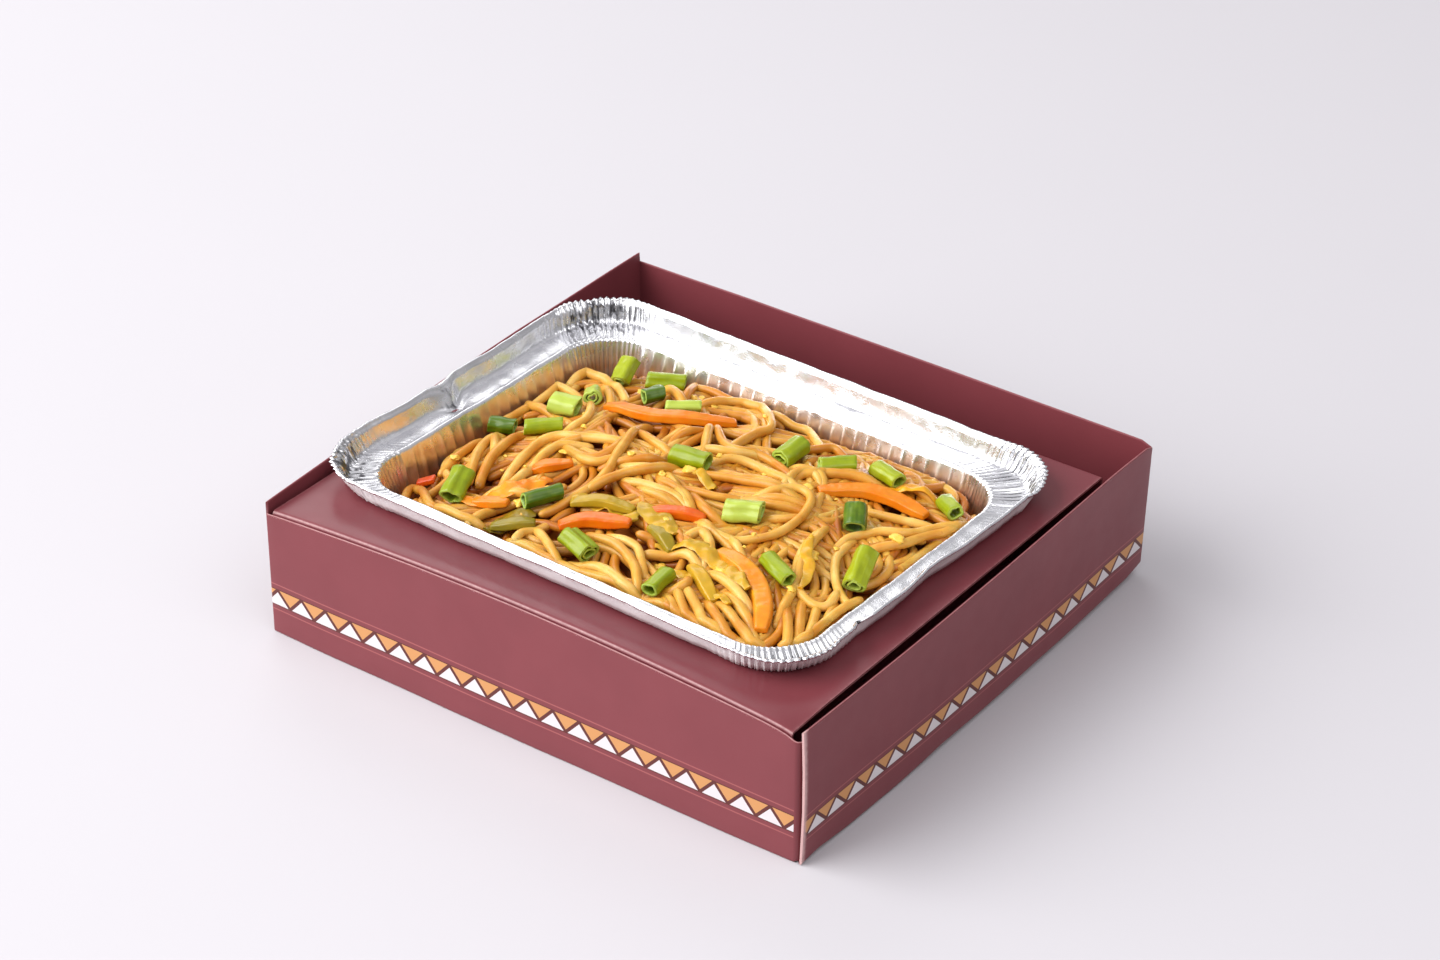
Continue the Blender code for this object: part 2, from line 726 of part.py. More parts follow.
def main():
    clear_scene()
    make_carton()
    make_deck()
    tray = make_tray()
    core = make_core()
    bare = tree_of(core)
    toppings = []
    for index, place in enumerate(ONIONS, start=1):
        toppings.append(make_onion(index, place, bare))
    for index, strip in enumerate(CARROTS, start=1):
        toppings.append(make_strip("carrot_%02d" % index, strip, "carrot", bare))
    for index, strip in enumerate(PEPPERS, start=1):
        toppings.append(make_strip("pepper_%02d" % index, strip, "pepper", bare))
    obstacles = [tree_of(item) for item in [tray] + toppings]
    add_strands(core, obstacles)


main()
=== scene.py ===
# %% [markdown]
# # Noodle takeaway box
# A shallow carton of printed board carries a foil tray of stir-fried noodles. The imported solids
# give every place and size. This script dresses them with finer meshes and finishes that are
# made from nodes. Lengths are in millimetres until a mesh is made.

# %% Load the frame
import math
import random

import bmesh
import bpy
import numpy as np
from mathutils import Matrix, Vector, noise
from mathutils.bvhtree import BVHTree


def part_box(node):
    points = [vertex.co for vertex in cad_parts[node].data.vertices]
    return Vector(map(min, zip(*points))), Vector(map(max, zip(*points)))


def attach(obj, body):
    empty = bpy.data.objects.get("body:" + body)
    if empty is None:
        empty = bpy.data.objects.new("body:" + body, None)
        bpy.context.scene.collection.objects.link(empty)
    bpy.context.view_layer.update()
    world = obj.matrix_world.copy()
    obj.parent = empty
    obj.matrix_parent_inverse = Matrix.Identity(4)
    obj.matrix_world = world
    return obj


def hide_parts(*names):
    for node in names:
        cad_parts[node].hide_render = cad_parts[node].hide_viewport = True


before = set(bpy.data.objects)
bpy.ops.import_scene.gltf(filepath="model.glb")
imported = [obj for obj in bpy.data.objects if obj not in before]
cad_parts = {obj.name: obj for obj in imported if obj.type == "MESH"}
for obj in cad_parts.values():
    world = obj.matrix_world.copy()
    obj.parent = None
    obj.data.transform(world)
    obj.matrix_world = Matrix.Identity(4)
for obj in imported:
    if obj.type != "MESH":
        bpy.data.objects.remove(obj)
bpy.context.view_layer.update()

MM = 0.001


def add_object(name, data):
    """A new object in the scene."""
    made = bpy.data.objects.new(name, data)
    bpy.context.scene.collection.objects.link(made)
    return made


# %% [markdown]
# ## Camera
# The view was solved from the carton's straight edges, so it is written as a place, three turns
# and a focal length in pixels of the photograph. Blender wants the lens in millimetres on its
# 36 mm sensor. The same numbers turn a pixel back into a ray, which is how a piece that is
# only seen in the photograph finds its place on the heap.

# %% Camera
PICTURE = (1440, 960)  # the photograph's pixels
SENSOR = 36.0
CLIP = (0.05, 20.0)  # metres
CAMERA_PLACE = Vector((611.2, -841.55, 695.9))
CAMERA_YAW, CAMERA_PITCH, CAMERA_ROLL = (math.radians(turn) for turn in (-35.867, 31.903, -0.299))
FOCAL_PIXELS = 3668.4


def camera_axes():
    """The camera's rightward, downward and forward directions."""
    level = Vector((math.sin(CAMERA_YAW), math.cos(CAMERA_YAW), 0.0))
    forward = level * math.cos(CAMERA_PITCH) - Vector((0.0, 0.0, math.sin(CAMERA_PITCH)))
    right = Vector((math.cos(CAMERA_YAW), -math.sin(CAMERA_YAW), 0.0))
    down = forward.cross(right)
    turn_c, turn_s = math.cos(CAMERA_ROLL), math.sin(CAMERA_ROLL)
    return right * turn_c + down * turn_s, down * turn_c - right * turn_s, forward


RIGHT, DOWN, FORWARD = camera_axes()


def on_level(pixel, height):
    """Where the ray through a pixel of the photograph meets a level plane."""
    x = (pixel[0] - PICTURE[0] / 2.0) / FOCAL_PIXELS
    y = (pixel[1] - PICTURE[1] / 2.0) / FOCAL_PIXELS
    ray = FORWARD + RIGHT * x + DOWN * y
    hit = CAMERA_PLACE + ray * ((height - CAMERA_PLACE.z) / ray.z)
    return hit.x, hit.y


def add_camera():
    """The scene's camera, turned by its three axes."""
    data = bpy.data.cameras.new("camera")
    data.sensor_width = SENSOR
    data.lens = FOCAL_PIXELS / PICTURE[0] * SENSOR
    data.clip_start, data.clip_end = CLIP
    camera = add_object("camera", data)
    turned = Matrix((RIGHT, -DOWN, -FORWARD)).transposed().to_4x4()
    camera.matrix_world = Matrix.Translation(CAMERA_PLACE * MM) @ turned
    bpy.context.scene.camera = camera
    return camera


print("lens:", round(add_camera().data.lens, 2), "mm")

# %% [markdown]
# ## Lofts and pieces
# Most pieces here are lofts: rows of points, joined by quads. Small helpers make the faces, and
# one turns millimetres into a Blender mesh, stores named values on its points for the finishes
# to read, and says which solids the piece stands for.


# %% Helpers for meshes
def srgb(red, green, blue):
    """A screen colour, 0 to 255, as the linear colour that a shader wants."""
    linear = []
    for value in (red, green, blue):
        share = value / 255.0
        linear.append(share / 12.92 if share <= 0.04045 else ((share + 0.055) / 1.055) ** 2.4)
    return (*linear, 1.0)


def arc(share):
    """A shallow arch over a length, 0 at both ends and 1 in the middle."""
    return 1.0 - (2.0 * share - 1.0) ** 2


def loft(row_count, length, ring=True, first=0):
    """Quads between rows of equal length. A ring closes each row on itself."""
    faces = []
    for row in range(row_count - 1):
        for step in range(length if ring else length - 1):
            here = first + row * length + step
            there = first + row * length + (step + 1) % length
            faces.append((here, there, there + length, here + length))
    return faces


def caps(row_count, length, first=0):
    """One face over the first row and one over the last."""
    last = first + (row_count - 1) * length
    return [tuple(range(first, first + length)), tuple(range(last, last + length))]


def add_part(points, faces, own, own_faces):
    """Adds one part's points and faces to the lists of a larger mesh."""
    first = len(points)
    points += own
    faces += [tuple(corner + first for corner in face) for face in own_faces]


def face_outwards(mesh):
    """Turns every face of a mesh to the outside."""
    work = bmesh.new()
    work.from_mesh(mesh)
    bmesh.ops.recalc_face_normals(work, faces=work.faces)
    work.to_mesh(mesh)
    work.free()


def add_piece(name, points, faces, finish, nodes, sharp, values=None):
    """A piece in millimetres that rides on the box and stands for the named solids."""
    mesh = bpy.data.meshes.new(name)
    mesh.from_pydata([tuple(c * MM for c in point) for point in points], [], faces)
    for key, numbers in (values or {}).items():
        mesh.attributes.new(key, "FLOAT", "POINT").data.foreach_set("value", numbers)
    face_outwards(mesh)
    mesh.materials.append(finish)
    mesh.shade_smooth()
    mesh.set_sharp_from_angle(angle=math.radians(sharp))
    piece = add_object(name, mesh)
    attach(piece, "root")
    if nodes:
        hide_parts(*nodes)
    print(name + ":", len(mesh.vertices), "points,", len(mesh.polygons), "faces")
    return piece


# %% [markdown]
# ## Shader maths as Python
# A finish is easier to read as a sum than as a wall of nodes. Wire holds one output of a node,
# and Python's operators on it add Math nodes. Colours go through Mix, because a Math node would
# turn them grey. Every other node comes from one method.


# %% One output of a node
class Wire:
    """One output of a node. Each operator adds the Math node of the same name."""

    def __init__(self, finish, socket):
        """Keeps the finish that the node belongs to, and the node's socket."""
        self.finish = finish
        self.socket = socket

    def __add__(self, other):
        return self.finish.maths("ADD", self, other)

    def __radd__(self, other):
        return self.finish.maths("ADD", other, self)

    def __sub__(self, other):
        return self.finish.maths("SUBTRACT", self, other)

    def __rsub__(self, other):
        return self.finish.maths("SUBTRACT", other, self)

    def __mul__(self, other):
        return self.finish.maths("MULTIPLY", self, other)

    def __rmul__(self, other):
        return self.finish.maths("MULTIPLY", other, self)

    def __lt__(self, other):
        return self.finish.maths("LESS_THAN", self, other)

    def __gt__(self, other):
        return self.finish.maths("GREATER_THAN", self, other)

    def __abs__(self):
        return self.finish.maths("ABSOLUTE", self)

    def fraction(self):
        """The part after the decimal point."""
        return self.finish.maths("FRACT", self)

    def between(self, low, high):
        """0 below low, 1 above high, and a smooth step from one to the other."""
        settings = {"interpolation_type": "SMOOTHSTEP"}
        sockets = {"Value": self, "From Min": low, "From Max": high}
        return self.finish.node("MapRange", settings, sockets)


# %% A material
class Finish:
    """A Principled material whose nodes are made and joined in Python."""

    def __init__(self, name, **constants):
        """A new material, with constants for the shader's sockets."""
        self.material = bpy.data.materials.new(name)
        self.material.use_nodes = True
        self.tree = self.material.node_tree
        self.shader = self.tree.nodes["Principled BSDF"]
        for key, value in constants.items():
            self.shader.inputs[key.replace("_", " ")].default_value = value

    def node(self, kind, settings=None, sockets=None, output=0):
        """Adds a node: its settings first, then the values or links of its sockets."""
        made = self.tree.nodes.new("ShaderNode" + kind)
        for key, value in (settings or {}).items():
            if key == "stops":
                ramp = made.color_ramp.elements
                while len(ramp) < len(value):
                    ramp.new(0.5)
                for stop, (place, color) in zip(ramp, value):
                    stop.position = place
                    stop.color = color
            else:
                setattr(made, key, value)
        for key, value in (sockets or {}).items():
            if isinstance(value, Wire):
                self.tree.links.new(value.socket, made.inputs[key])
            else:
                made.inputs[key].default_value = value
        return Wire(self, made.outputs[output])

    def maths(self, operation, *values):
        """A Math node with its values or wires in order."""
        return self.node("Math", {"operation": operation}, dict(enumerate(values)))

    def mix(self, share, first, second, blend="MIX"):
        """A colour between two, or one blended over the other."""
        settings = {"data_type": "RGBA", "blend_type": blend}
        return self.node("Mix", settings, {0: share, 6: first, 7: second}, 2)

    def value(self, name):
        """A value that the mesh carries on its points."""
        return self.node("Attribute", {"attribute_name": name}, {}, "Fac")

    def speckle(self, size, detail=2.0, stretch=(1.0, 1.0, 1.0)):
        """Noise from 0 to 1 whose blots are about size millimetres across."""
        place = self.node("TexCoord", {}, {}, "Object")
        place = self.node("Mapping", {}, {"Vector": place, "Scale": stretch})
        sockets = {"Vector": place, "Scale": 1.0 / (size * MM), "Detail": detail}
        return self.node("TexNoise", {}, sockets, 0)

    def bump(self, height, depth, strength=1.0):
        """A normal from a height from 0 to 1 that stands for depth millimetres."""
        sockets = {"Height": height, "Distance": depth * MM, "Strength": strength}
        return self.node("Bump", {}, sockets, 0)

    def feed(self, **links):
        """Joins wires to the shader's sockets."""
        for key, wire in links.items():
            self.tree.links.new(wire.socket, self.shader.inputs[key.replace("_", " ")])
        return self.material


# %% [markdown]
# ## Printed board
# The carton is thin white-cored board, printed a dark wine red and sealed with a satin varnish.
# The varnish cracks where the board is folded, so folds and cut edges show paler. Along the
# folds the pale line is partly that cracked varnish and partly a painted highlight on the fold's
# crest, and on the upright corner folds it is a painted highlight only. A border of white
# triangles with orange ones between them runs round the walls, under and over a thin line.
# The walls carry three values for it: how many triangles along a point is, how high it is in
# the border's own scale, 0 at the triangles' feet and 1 at their tips, and if it is printed.

# %% Board finish
# The deck's wine is a little darker than the walls': it is the same board, painted darker as
# painted shade over the deck.
WINE = {"printed_board": srgb(129, 62, 68), "deck_board": srgb(121, 57, 63)}
WINE_DARK = {"printed_board": srgb(117, 54, 60), "deck_board": srgb(108, 49, 55)}
PALE_FOLD = srgb(200, 160, 158)
OUTLINE = srgb(84, 40, 34)
PRINT_WHITE = srgb(216, 208, 210)
PRINT_ORANGE = srgb(200, 143, 90)
PRINT_LINE = srgb(156, 86, 86)
OUTLINE_SHARE = 0.075  # of a triangle's width
GROUND_EDGE = 0.07  # how far the dark ground goes past feet and tips, in the border's own scale
LINE_PLACES = (-0.34, 1.36)
LINE_HALF = 0.04


def border(board):
    """Masks of the white triangles, the orange ones, their ground and the two lines."""
    cell, high = board.value("cell"), board.value("band")
    printed = board.value("printed") > 0.5
    inside = (high > 0.0) * (high < 1.0) * printed
    up_middle = abs(cell.fraction() - 0.5)
    down_middle = abs((cell + 0.5).fraction() - 0.5)
    white = (up_middle < (1.0 - high) * 0.5 - OUTLINE_SHARE) * inside
    orange = (down_middle < high * 0.5 - OUTLINE_SHARE) * inside
    ground = (high > -GROUND_EDGE) * (high < 1.0 + GROUND_EDGE) * printed
    lines = abs(high - LINE_PLACES[0]) < LINE_HALF
    lines = lines + (abs(high - LINE_PLACES[1]) < LINE_HALF)
    return white, orange, ground, lines * printed


def board_finish(name, printed, dullness):
    """Wine-red board, with the border where printed is true."""
    board = Finish(name, IOR=1.36, Coat_Roughness=0.22, Coat_IOR=1.4)
    color = board.mix(board.speckle(24.0), WINE[name], WINE_DARK[name])
    if printed:
        white, orange, ground, lines = border(board)
        color = board.mix(ground * 0.8, color, OUTLINE)
        color = board.mix(lines, color, PRINT_LINE)
        color = board.mix(orange, color, PRINT_ORANGE)
        color = board.mix(white, color, PRINT_WHITE)
    # Pale where the board's core shows at cut edges; along folds the pale is partly cracked
    # varnish and partly a painted highlight.
    edge_wear_and_highlight = board.value("pale") * (board.speckle(1.6, 3.0) * 0.5 + 0.7)
    color = board.mix(edge_wear_and_highlight.between(0.25, 0.85), color, PALE_FOLD)
    fibres = board.speckle(0.7, 4.0) * 0.5 + board.speckle(9.0) * 0.5
    return board.feed(
        Base_Color=color,
        Roughness=board.speckle(6.0, 3.0) * 0.12 + dullness,
        Coat_Weight=board.speckle(14.0) * 0.12,
        Normal=board.bump(fibres, 0.05, 0.5),
    )


wall_board = board_finish("printed_board", True, 0.36)
# The deck's finish is the walls' board painted darker, as painted shade.
deck_board = board_finish("deck_board", False, 0.25)
print("board nodes:", len(wall_board.node_tree.nodes), len(deck_board.node_tree.nodes))

# %% [markdown]
# ## Carton walls
# The four walls are one sheet that is folded round three corners. It starts at a flap inside
# the front right corner, runs along the front, the left and the back, and ends in a cut edge
# beside the front wall. A station is one upright line of that sheet. It knows its place, the
# way out, how far the wall bows there, its height, and its place in the printed border.

# %% Stations round the walls
BOARD = 0.8
SIDE_BOW = 1.6  # how far the left and right walls bow out in the middle
END_BOW = 0.8  # and the back and front ones
FRONT_TOP_BOW = -1.8  # the front's top edge bows in instead
CARTON_HIGH = [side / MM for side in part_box("carton")[1]]
CORNER_X, CORNER_Y = CARTON_HIGH[0] - SIDE_BOW, CARTON_HIGH[1] - END_BOW
FOLD_RADIUS = 1.0
FREE_END = 1.3  # from the front wall's fold to the right wall's outer face
END_RADIUS = 2.2
FLAP = 12.0  # length of the flap behind the front right corner
FLAP_STEPS = 4
FRONT_TOP, FRONT_ARCH = 46.7, 3.2
RIGHT_TOP = (50.1, 52.3)
BACK_TOP = 52.3
LEFT_TOP = (51.0, CARTON_HIGH[2])
PITCH = 10.6  # of the printed triangles
FRONT_PHASE, RIGHT_PHASE = -0.19, 0.163  # of a triangle, from each wall's near corner
FRONT_BAND, RIGHT_BAND = (11.7, 17.6), (11.2, 16.7)  # feet and tips of the triangles
LONG_STEPS = 64
TURN_STEPS = 6
QUARTER = 1.57  # length of a fold's quarter turn, for a radius of 1
HIDDEN = 2.0 * (CORNER_X + CORNER_Y)  # length of the back and left walls
# How pale each wall's folds are: partly cracked varnish and partly a painted highlight along the
# fold.
PALE = {"front": 0.62, "left": 0.3, "back": 0.4, "right": 0.5}


def phase_plan():
    """The border's count where the front wall starts, and the count for each hidden millimetre."""
    start = 2.0 * CORNER_Y / PITCH - RIGHT_PHASE
    count = round(start + HIDDEN / PITCH + FRONT_PHASE)
    return count - FRONT_PHASE, (count - FRONT_PHASE - start) / HIDDEN


FRONT_COUNT, HIDDEN_RATE = phase_plan()
print("triangles from the right wall's near corner round to the front:", round(FRONT_COUNT, 2))


# %% One station
def station(side, x, y, out, share, hidden=0.0, turn=0.0):
    """One upright line of the sheet. hidden is how far round the back and left it is."""
    blend = min(1.0, max(0.0, hidden / HIDDEN))
    top = {
        "front": FRONT_TOP + FRONT_ARCH * arc(share),
        "right": RIGHT_TOP[0] + (RIGHT_TOP[1] - RIGHT_TOP[0]) * share,
        "back": BACK_TOP,
        "left": LEFT_TOP[0] + (LEFT_TOP[1] - LEFT_TOP[0]) * share,
    }[side]
    cell = 2.0 * CORNER_Y / PITCH - RIGHT_PHASE + hidden * HIDDEN_RATE
    if side == "front":
        cell = FRONT_COUNT + (x + CORNER_X) / PITCH
        blend = 1.0
    elif side == "right":
        cell = (y + CORNER_Y) / PITCH - RIGHT_PHASE
        blend = 0.0
    bows = {"front": (END_BOW, FRONT_TOP_BOW), "back": (END_BOW, END_BOW)}
    return {
        "side": side,
        "place": (x, y),
        "out": out,
        "bows": [bow * arc(share) for bow in bows.get(side, (SIDE_BOW, SIDE_BOW))],
        "top": top,
        "cell": cell,
        "band": [r + (f - r) * blend for r, f in zip(RIGHT_BAND, FRONT_BAND)],
        "pale": PALE[side],
        "turn": turn,
    }


# %% The line of stations
def fold(side, other, center, radius, start, hidden=0.0):
    """Stations round a quarter turn, half on each wall's terms."""
    made = []
    for step in range(TURN_STEPS + 1):
        angle = math.radians(start - 90.0 * step / TURN_STEPS)
        out = (math.cos(angle), math.sin(angle))
        wall = side if step <= TURN_STEPS / 2 else other
        x, y = center[0] + radius * out[0], center[1] + radius * out[1]
        at_start = wall == "front" or (side, wall) == ("front", "left")
        far = hidden + radius * QUARTER * (0.5 - step / TURN_STEPS)
        made.append(station(wall, x, y, out, 0.0 if at_start else 1.0, far, 1.0))
    return made


def wall_stations():
    """All the stations, from the flap round to the right wall's cut edge."""
    end = CORNER_X - FREE_END
    near_x, near_y = CORNER_X - FOLD_RADIUS, CORNER_Y - FOLD_RADIUS
    line = []
    for step in range(FLAP_STEPS):
        y = -CORNER_Y + END_RADIUS + FLAP * (1.0 - step / FLAP_STEPS)
        line.append(station("front", end, y, (1.0, 0.0), 1.0))
    line += fold("front", "front", (end - END_RADIUS, -CORNER_Y + END_RADIUS), END_RADIUS, 0.0)
    for step in range(1, LONG_STEPS):
        x = (end - END_RADIUS) + (-near_x - end + END_RADIUS) * step / LONG_STEPS
        line.append(station("front", x, -CORNER_Y, (0.0, -1.0), x / CORNER_X / 2.0 + 0.5))
    line += fold("front", "left", (-near_x, -near_y), FOLD_RADIUS, 270.0, HIDDEN)
    for step in range(1, LONG_STEPS):
        y = -near_y + 2.0 * near_y * step / LONG_STEPS
        far = HIDDEN - (y + CORNER_Y)
        line.append(station("left", -CORNER_X, y, (-1.0, 0.0), y / CORNER_Y / 2.0 + 0.5, far))
    line += fold("left", "back", (-near_x, near_y), FOLD_RADIUS, 180.0, 2.0 * CORNER_X)
    for step in range(1, LONG_STEPS):
        x = -near_x + 2.0 * near_x * step / LONG_STEPS
        share = x / CORNER_X / 2.0 + 0.5
        line.append(station("back", x, CORNER_Y, (0.0, 1.0), share, CORNER_X - x))
    line += fold("back", "right", (near_x, near_y), FOLD_RADIUS, 90.0)
    for step in range(1, LONG_STEPS + 1):
        y = near_y - (near_y + CORNER_Y) * step / LONG_STEPS
        line.append(station("right", CORNER_X, y, (1.0, 0.0), y / CORNER_Y / 2.0 + 0.5))
    return line


walls = wall_stations()
print("stations:", len(walls))

# %% [markdown]
# Each station is drawn as the same section: a rounded fold at the foot, the outer face, a
# rolled top and the inner face. Real board is never quite flat, so a slow noise moves each
# wall by a few tenths of a millimetre. The right wall's foot curls up off the table, more so
# towards the back, where the corner is soft and its top is rounded.

# %% Section of a wall
FOOT_RADIUS = 0.7
FOOT_ROWS = 4
OUTER_ROWS = 18
TOP_ROWS = 8
INNER_HEIGHTS = (0.985, 0.95, 0.7, 0.4)  # shares of the wall's height
# The rolled top's pale band is partly cracked varnish and partly a painted highlight on its crest.
TOP_PALEST, TOP_PALE_WIDTH = 1.2, 0.75  # where the rolled top is pale, in radians round it


def wall_section(top):
    """Height, inset, how pale, and if it is an outer point, up the outside and down inside."""
    rows = []
    for step in range(FOOT_ROWS):
        angle = math.pi / 2.0 * step / FOOT_ROWS
        up, inset = 1 - math.cos(angle), 1 - math.sin(angle)
        rows.append((FOOT_RADIUS * up, FOOT_RADIUS * inset, 0.2, 1))
    straight = top - BOARD - FOOT_RADIUS
    for step in range(OUTER_ROWS + 1):
        rows.append((FOOT_RADIUS + straight * step / OUTER_ROWS, 0.0, 0.0, 1))
    rows.append((top - BOARD * 0.7, 0.0, 0.1, 1))
    half = BOARD / 2.0
    for step in range(TOP_ROWS + 1):
        angle = math.pi * step / TOP_ROWS
        pale = math.exp(-(((angle - TOP_PALEST) / TOP_PALE_WIDTH) ** 2))
        rows.append((top - half + half * math.sin(angle), half - half * math.cos(angle), pale, 0))
    for share in INNER_HEIGHTS:
        rows.append((top * share, BOARD, 0.0, 0))
    rows.append((BOARD, BOARD, 0.0, 0))
    return rows


# %% Lifted foot and drooping fold
# How high the right wall's foot stands off the table, at places along the wall
FOOT_LIFT = (
    (-103.0, 0.3), (-94.0, 1.5), (-78.0, 0.6), (-52.0, 0.6), (-26.0, 2.0), (0.0, 1.5),
    (34.0, 2.2), (72.0, 2.1), (92.0, 2.6), (103.0, 4.2),
)
RIGHT_REACH = 2.5  # how far in from the right wall's face its foot is lifted
CORNER_SOFT = 9.0  # how far round the back corner the foot stays up
END_DROOP, DROOP_REACH = 1.3, 7.0


def foot_lift(x, y):
    """How high the sheet's foot stands off the table at a place on the walls."""
    if x > CORNER_X - RIGHT_REACH:
        return float(np.interp(y, *zip(*FOOT_LIFT)))
    if y > 0.0:
        return FOOT_LIFT[-1][1] * math.exp(-(((CORNER_X - x) / CORNER_SOFT) ** 2))
    return 0.0


def end_droop(x):
    """How far the front fold droops towards its free right end."""
    return END_DROOP * math.exp(-(((CORNER_X - x) / DROOP_REACH) ** 2))


print("foot lifted at the right wall's middle:", foot_lift(CORNER_X, 0.0), "mm")

# %% A point of a wall
WAVE = 0.35
WAVE_SIZE = 42.0
CALM_REACH = 20.0  # near the corners the waves die out
END_SWELL, SWELL_REACH = 0.7, 26.0
CORNER_SWELL, CORNER_SWELL_REACH = 1.2, 20.0
PEAK_DROP, PEAK_REACH = 1.6, 2.4


def wall_point(place, height, inset):
    """A point of a station's section, with the bow, the waves and the lifted foot."""
    bow = place["bows"][0] + (place["bows"][1] - place["bows"][0]) * height / place["top"]
    x, y = place["place"]
    calm = min(1.0, (CORNER_X - abs(x)) / CALM_REACH + (CORNER_Y - abs(y)) / CALM_REACH)
    wave = noise.noise(Vector((x, y, height * 0.6)) / WAVE_SIZE) * WAVE * calm
    share = height / place["top"]
    swell = 0.0
    if place["side"] == "right":
        near_end = max(0.0, 1.0 - (y + CORNER_Y) / SWELL_REACH)
        swell = END_SWELL * math.sin(math.pi * share) * near_end**2
    far = math.hypot(CORNER_X - x, CORNER_Y - y)
    side_swell = CORNER_SWELL * share * math.exp(-((far / CORNER_SWELL_REACH) ** 2))
    height += foot_lift(x, y) * (1.0 - share) ** 1.5
    height -= PEAK_DROP * math.exp(-((far / PEAK_REACH) ** 2)) * share**8
    if place["side"] == "front":
        height -= end_droop(x) * share**4
    out = bow + wave + swell - inset
    x += place["out"][0] * out + side_swell
    y += place["out"][1] * out
    limit_x, limit_y = CARTON_HIGH[0] - inset, CARTON_HIGH[1] - inset
    x, y = max(-limit_x, min(limit_x, x)), max(-limit_y, min(limit_y, y))
    return (x, y, min(height, CARTON_HIGH[2]))


# %% Walls as a loft
FLAP_SLOPE = 2.4
# Cut edges show the board's pale core; the pale line on the upright corner folds is a painted
# highlight.
CUT_PALE, CORNER_FOLD_HIGHLIGHT = 0.95, 0.24
NO_BAND = -9.0  # stands for a height far from the border
PRINT_FROM = FLAP_STEPS + TURN_STEPS  # the first station past the flap and its fold


def make_walls():
    """The folded sheet, with the flap sloping down inside the front right corner."""
    points, cells, bands, prints, pales = [], [], [], [], []
    for index, place in enumerate(walls):
        top = place["top"] - FLAP_SLOPE * max(0, FLAP_STEPS - index) / FLAP_STEPS
        cut = CUT_PALE if index in (0, len(walls) - 1) else 0.0
        for height, inset, pale, outer in wall_section(top):
            points.append(wall_point(place, height, inset))
            cells.append(place["cell"])
            low, high = place["band"]
            bands.append((points[-1][2] - low) / (high - low) if outer else NO_BAND)
            prints.append(1.0 if index >= PRINT_FROM else 0.0)
            pales.append(max(pale * place["pale"], cut, CORNER_FOLD_HIGHLIGHT * place["turn"] * outer))
    length = len(wall_section(FRONT_TOP))
    faces = loft(len(walls), length) + caps(len(walls), length)
    values = {"cell": cells, "band": bands, "printed": prints, "pale": pales}
    return points, faces, values


# %% [markdown]
# The base is a thin board inside the walls' foot. Its rim follows the same line as the walls,
# lifted foot and all, and a smaller ring of that line lies flat on the table.


# %% Base and carton
BASE_CURL, BASE_EDGE = 15.0, 5.0  # from how far in the base curls up to a lifted foot


def base_row(height, inset, flat):
    """The walls' inner line at the foot, or a smaller ring of it that lies flat."""
    line = []
    for place in walls[FLAP_STEPS:]:
        x, y, z = wall_point(place, 0.0, inset)
        if flat:
            x, y, z = x * (1.0 - flat / CORNER_X), y * (1.0 - flat / CORNER_Y), 0.0
        line.append((x, y, z + height))
    return line


def make_carton():
    """The walls and the base as one piece."""
    points, faces, values = make_walls()
    first = len(points)
    rows = [(0.0, BOARD, BASE_CURL), (0.0, BOARD, BASE_EDGE), (0.0, BOARD, 0.0)]
    rows += [(BOARD / 2.0, BOARD * 0.6, 0.0), (BOARD, BOARD, 0.0), (BOARD, BOARD, BASE_CURL)]
    for height, inset, flat in rows:
        points += base_row(height, inset, flat)
    bare_values = {"cell": 0.0, "band": NO_BAND, "printed": 0.0, "pale": 0.0}
    for key, value in bare_values.items():
        values[key] += [value] * (len(points) - first)
    length = (len(points) - first) // len(rows)
    faces += loft(len(rows), length, first=first) + caps(len(rows), length, first)
    return add_piece("folded_carton", points, faces, wall_board, ["carton"], 50.0, values)


make_carton()

# %% [markdown]
# ## Deck
# The deck is a second folded board: a front leg, a soft fold, a shelf and a rear leg. Its front
# edge rises in the middle, where the front wall pushes it up. It is drawn as one bent sheet and
# the tray's opening is cut out with a Boolean, because the cut has round corners that don't
# follow the sheet's own rows.

# %% Tray outline that the deck and the tray share
TRAY_PLACE = (-6.2, -6.8)
TRAY_TURN = math.radians(-1.5)
TRAY_HALF = (88.2, 64.0)
TRAY_RADIUS = 20.0
RIM_SQUARE = 0.35  # the corners' radius grows by this share of a move outwards


def to_box(x, y):
    """A point of the tray's own frame in the carton's frame."""
    turn_c, turn_s = math.cos(TRAY_TURN), math.sin(TRAY_TURN)
    return (TRAY_PLACE[0] + x * turn_c - y * turn_s, TRAY_PLACE[1] + x * turn_s + y * turn_c)


def to_tray(x, y):
    """A point of the carton's frame in the tray's own frame."""
    x, y = x - TRAY_PLACE[0], y - TRAY_PLACE[1]
    turn_c, turn_s = math.cos(TRAY_TURN), math.sin(TRAY_TURN)
    return (x * turn_c + y * turn_s, -x * turn_s + y * turn_c)


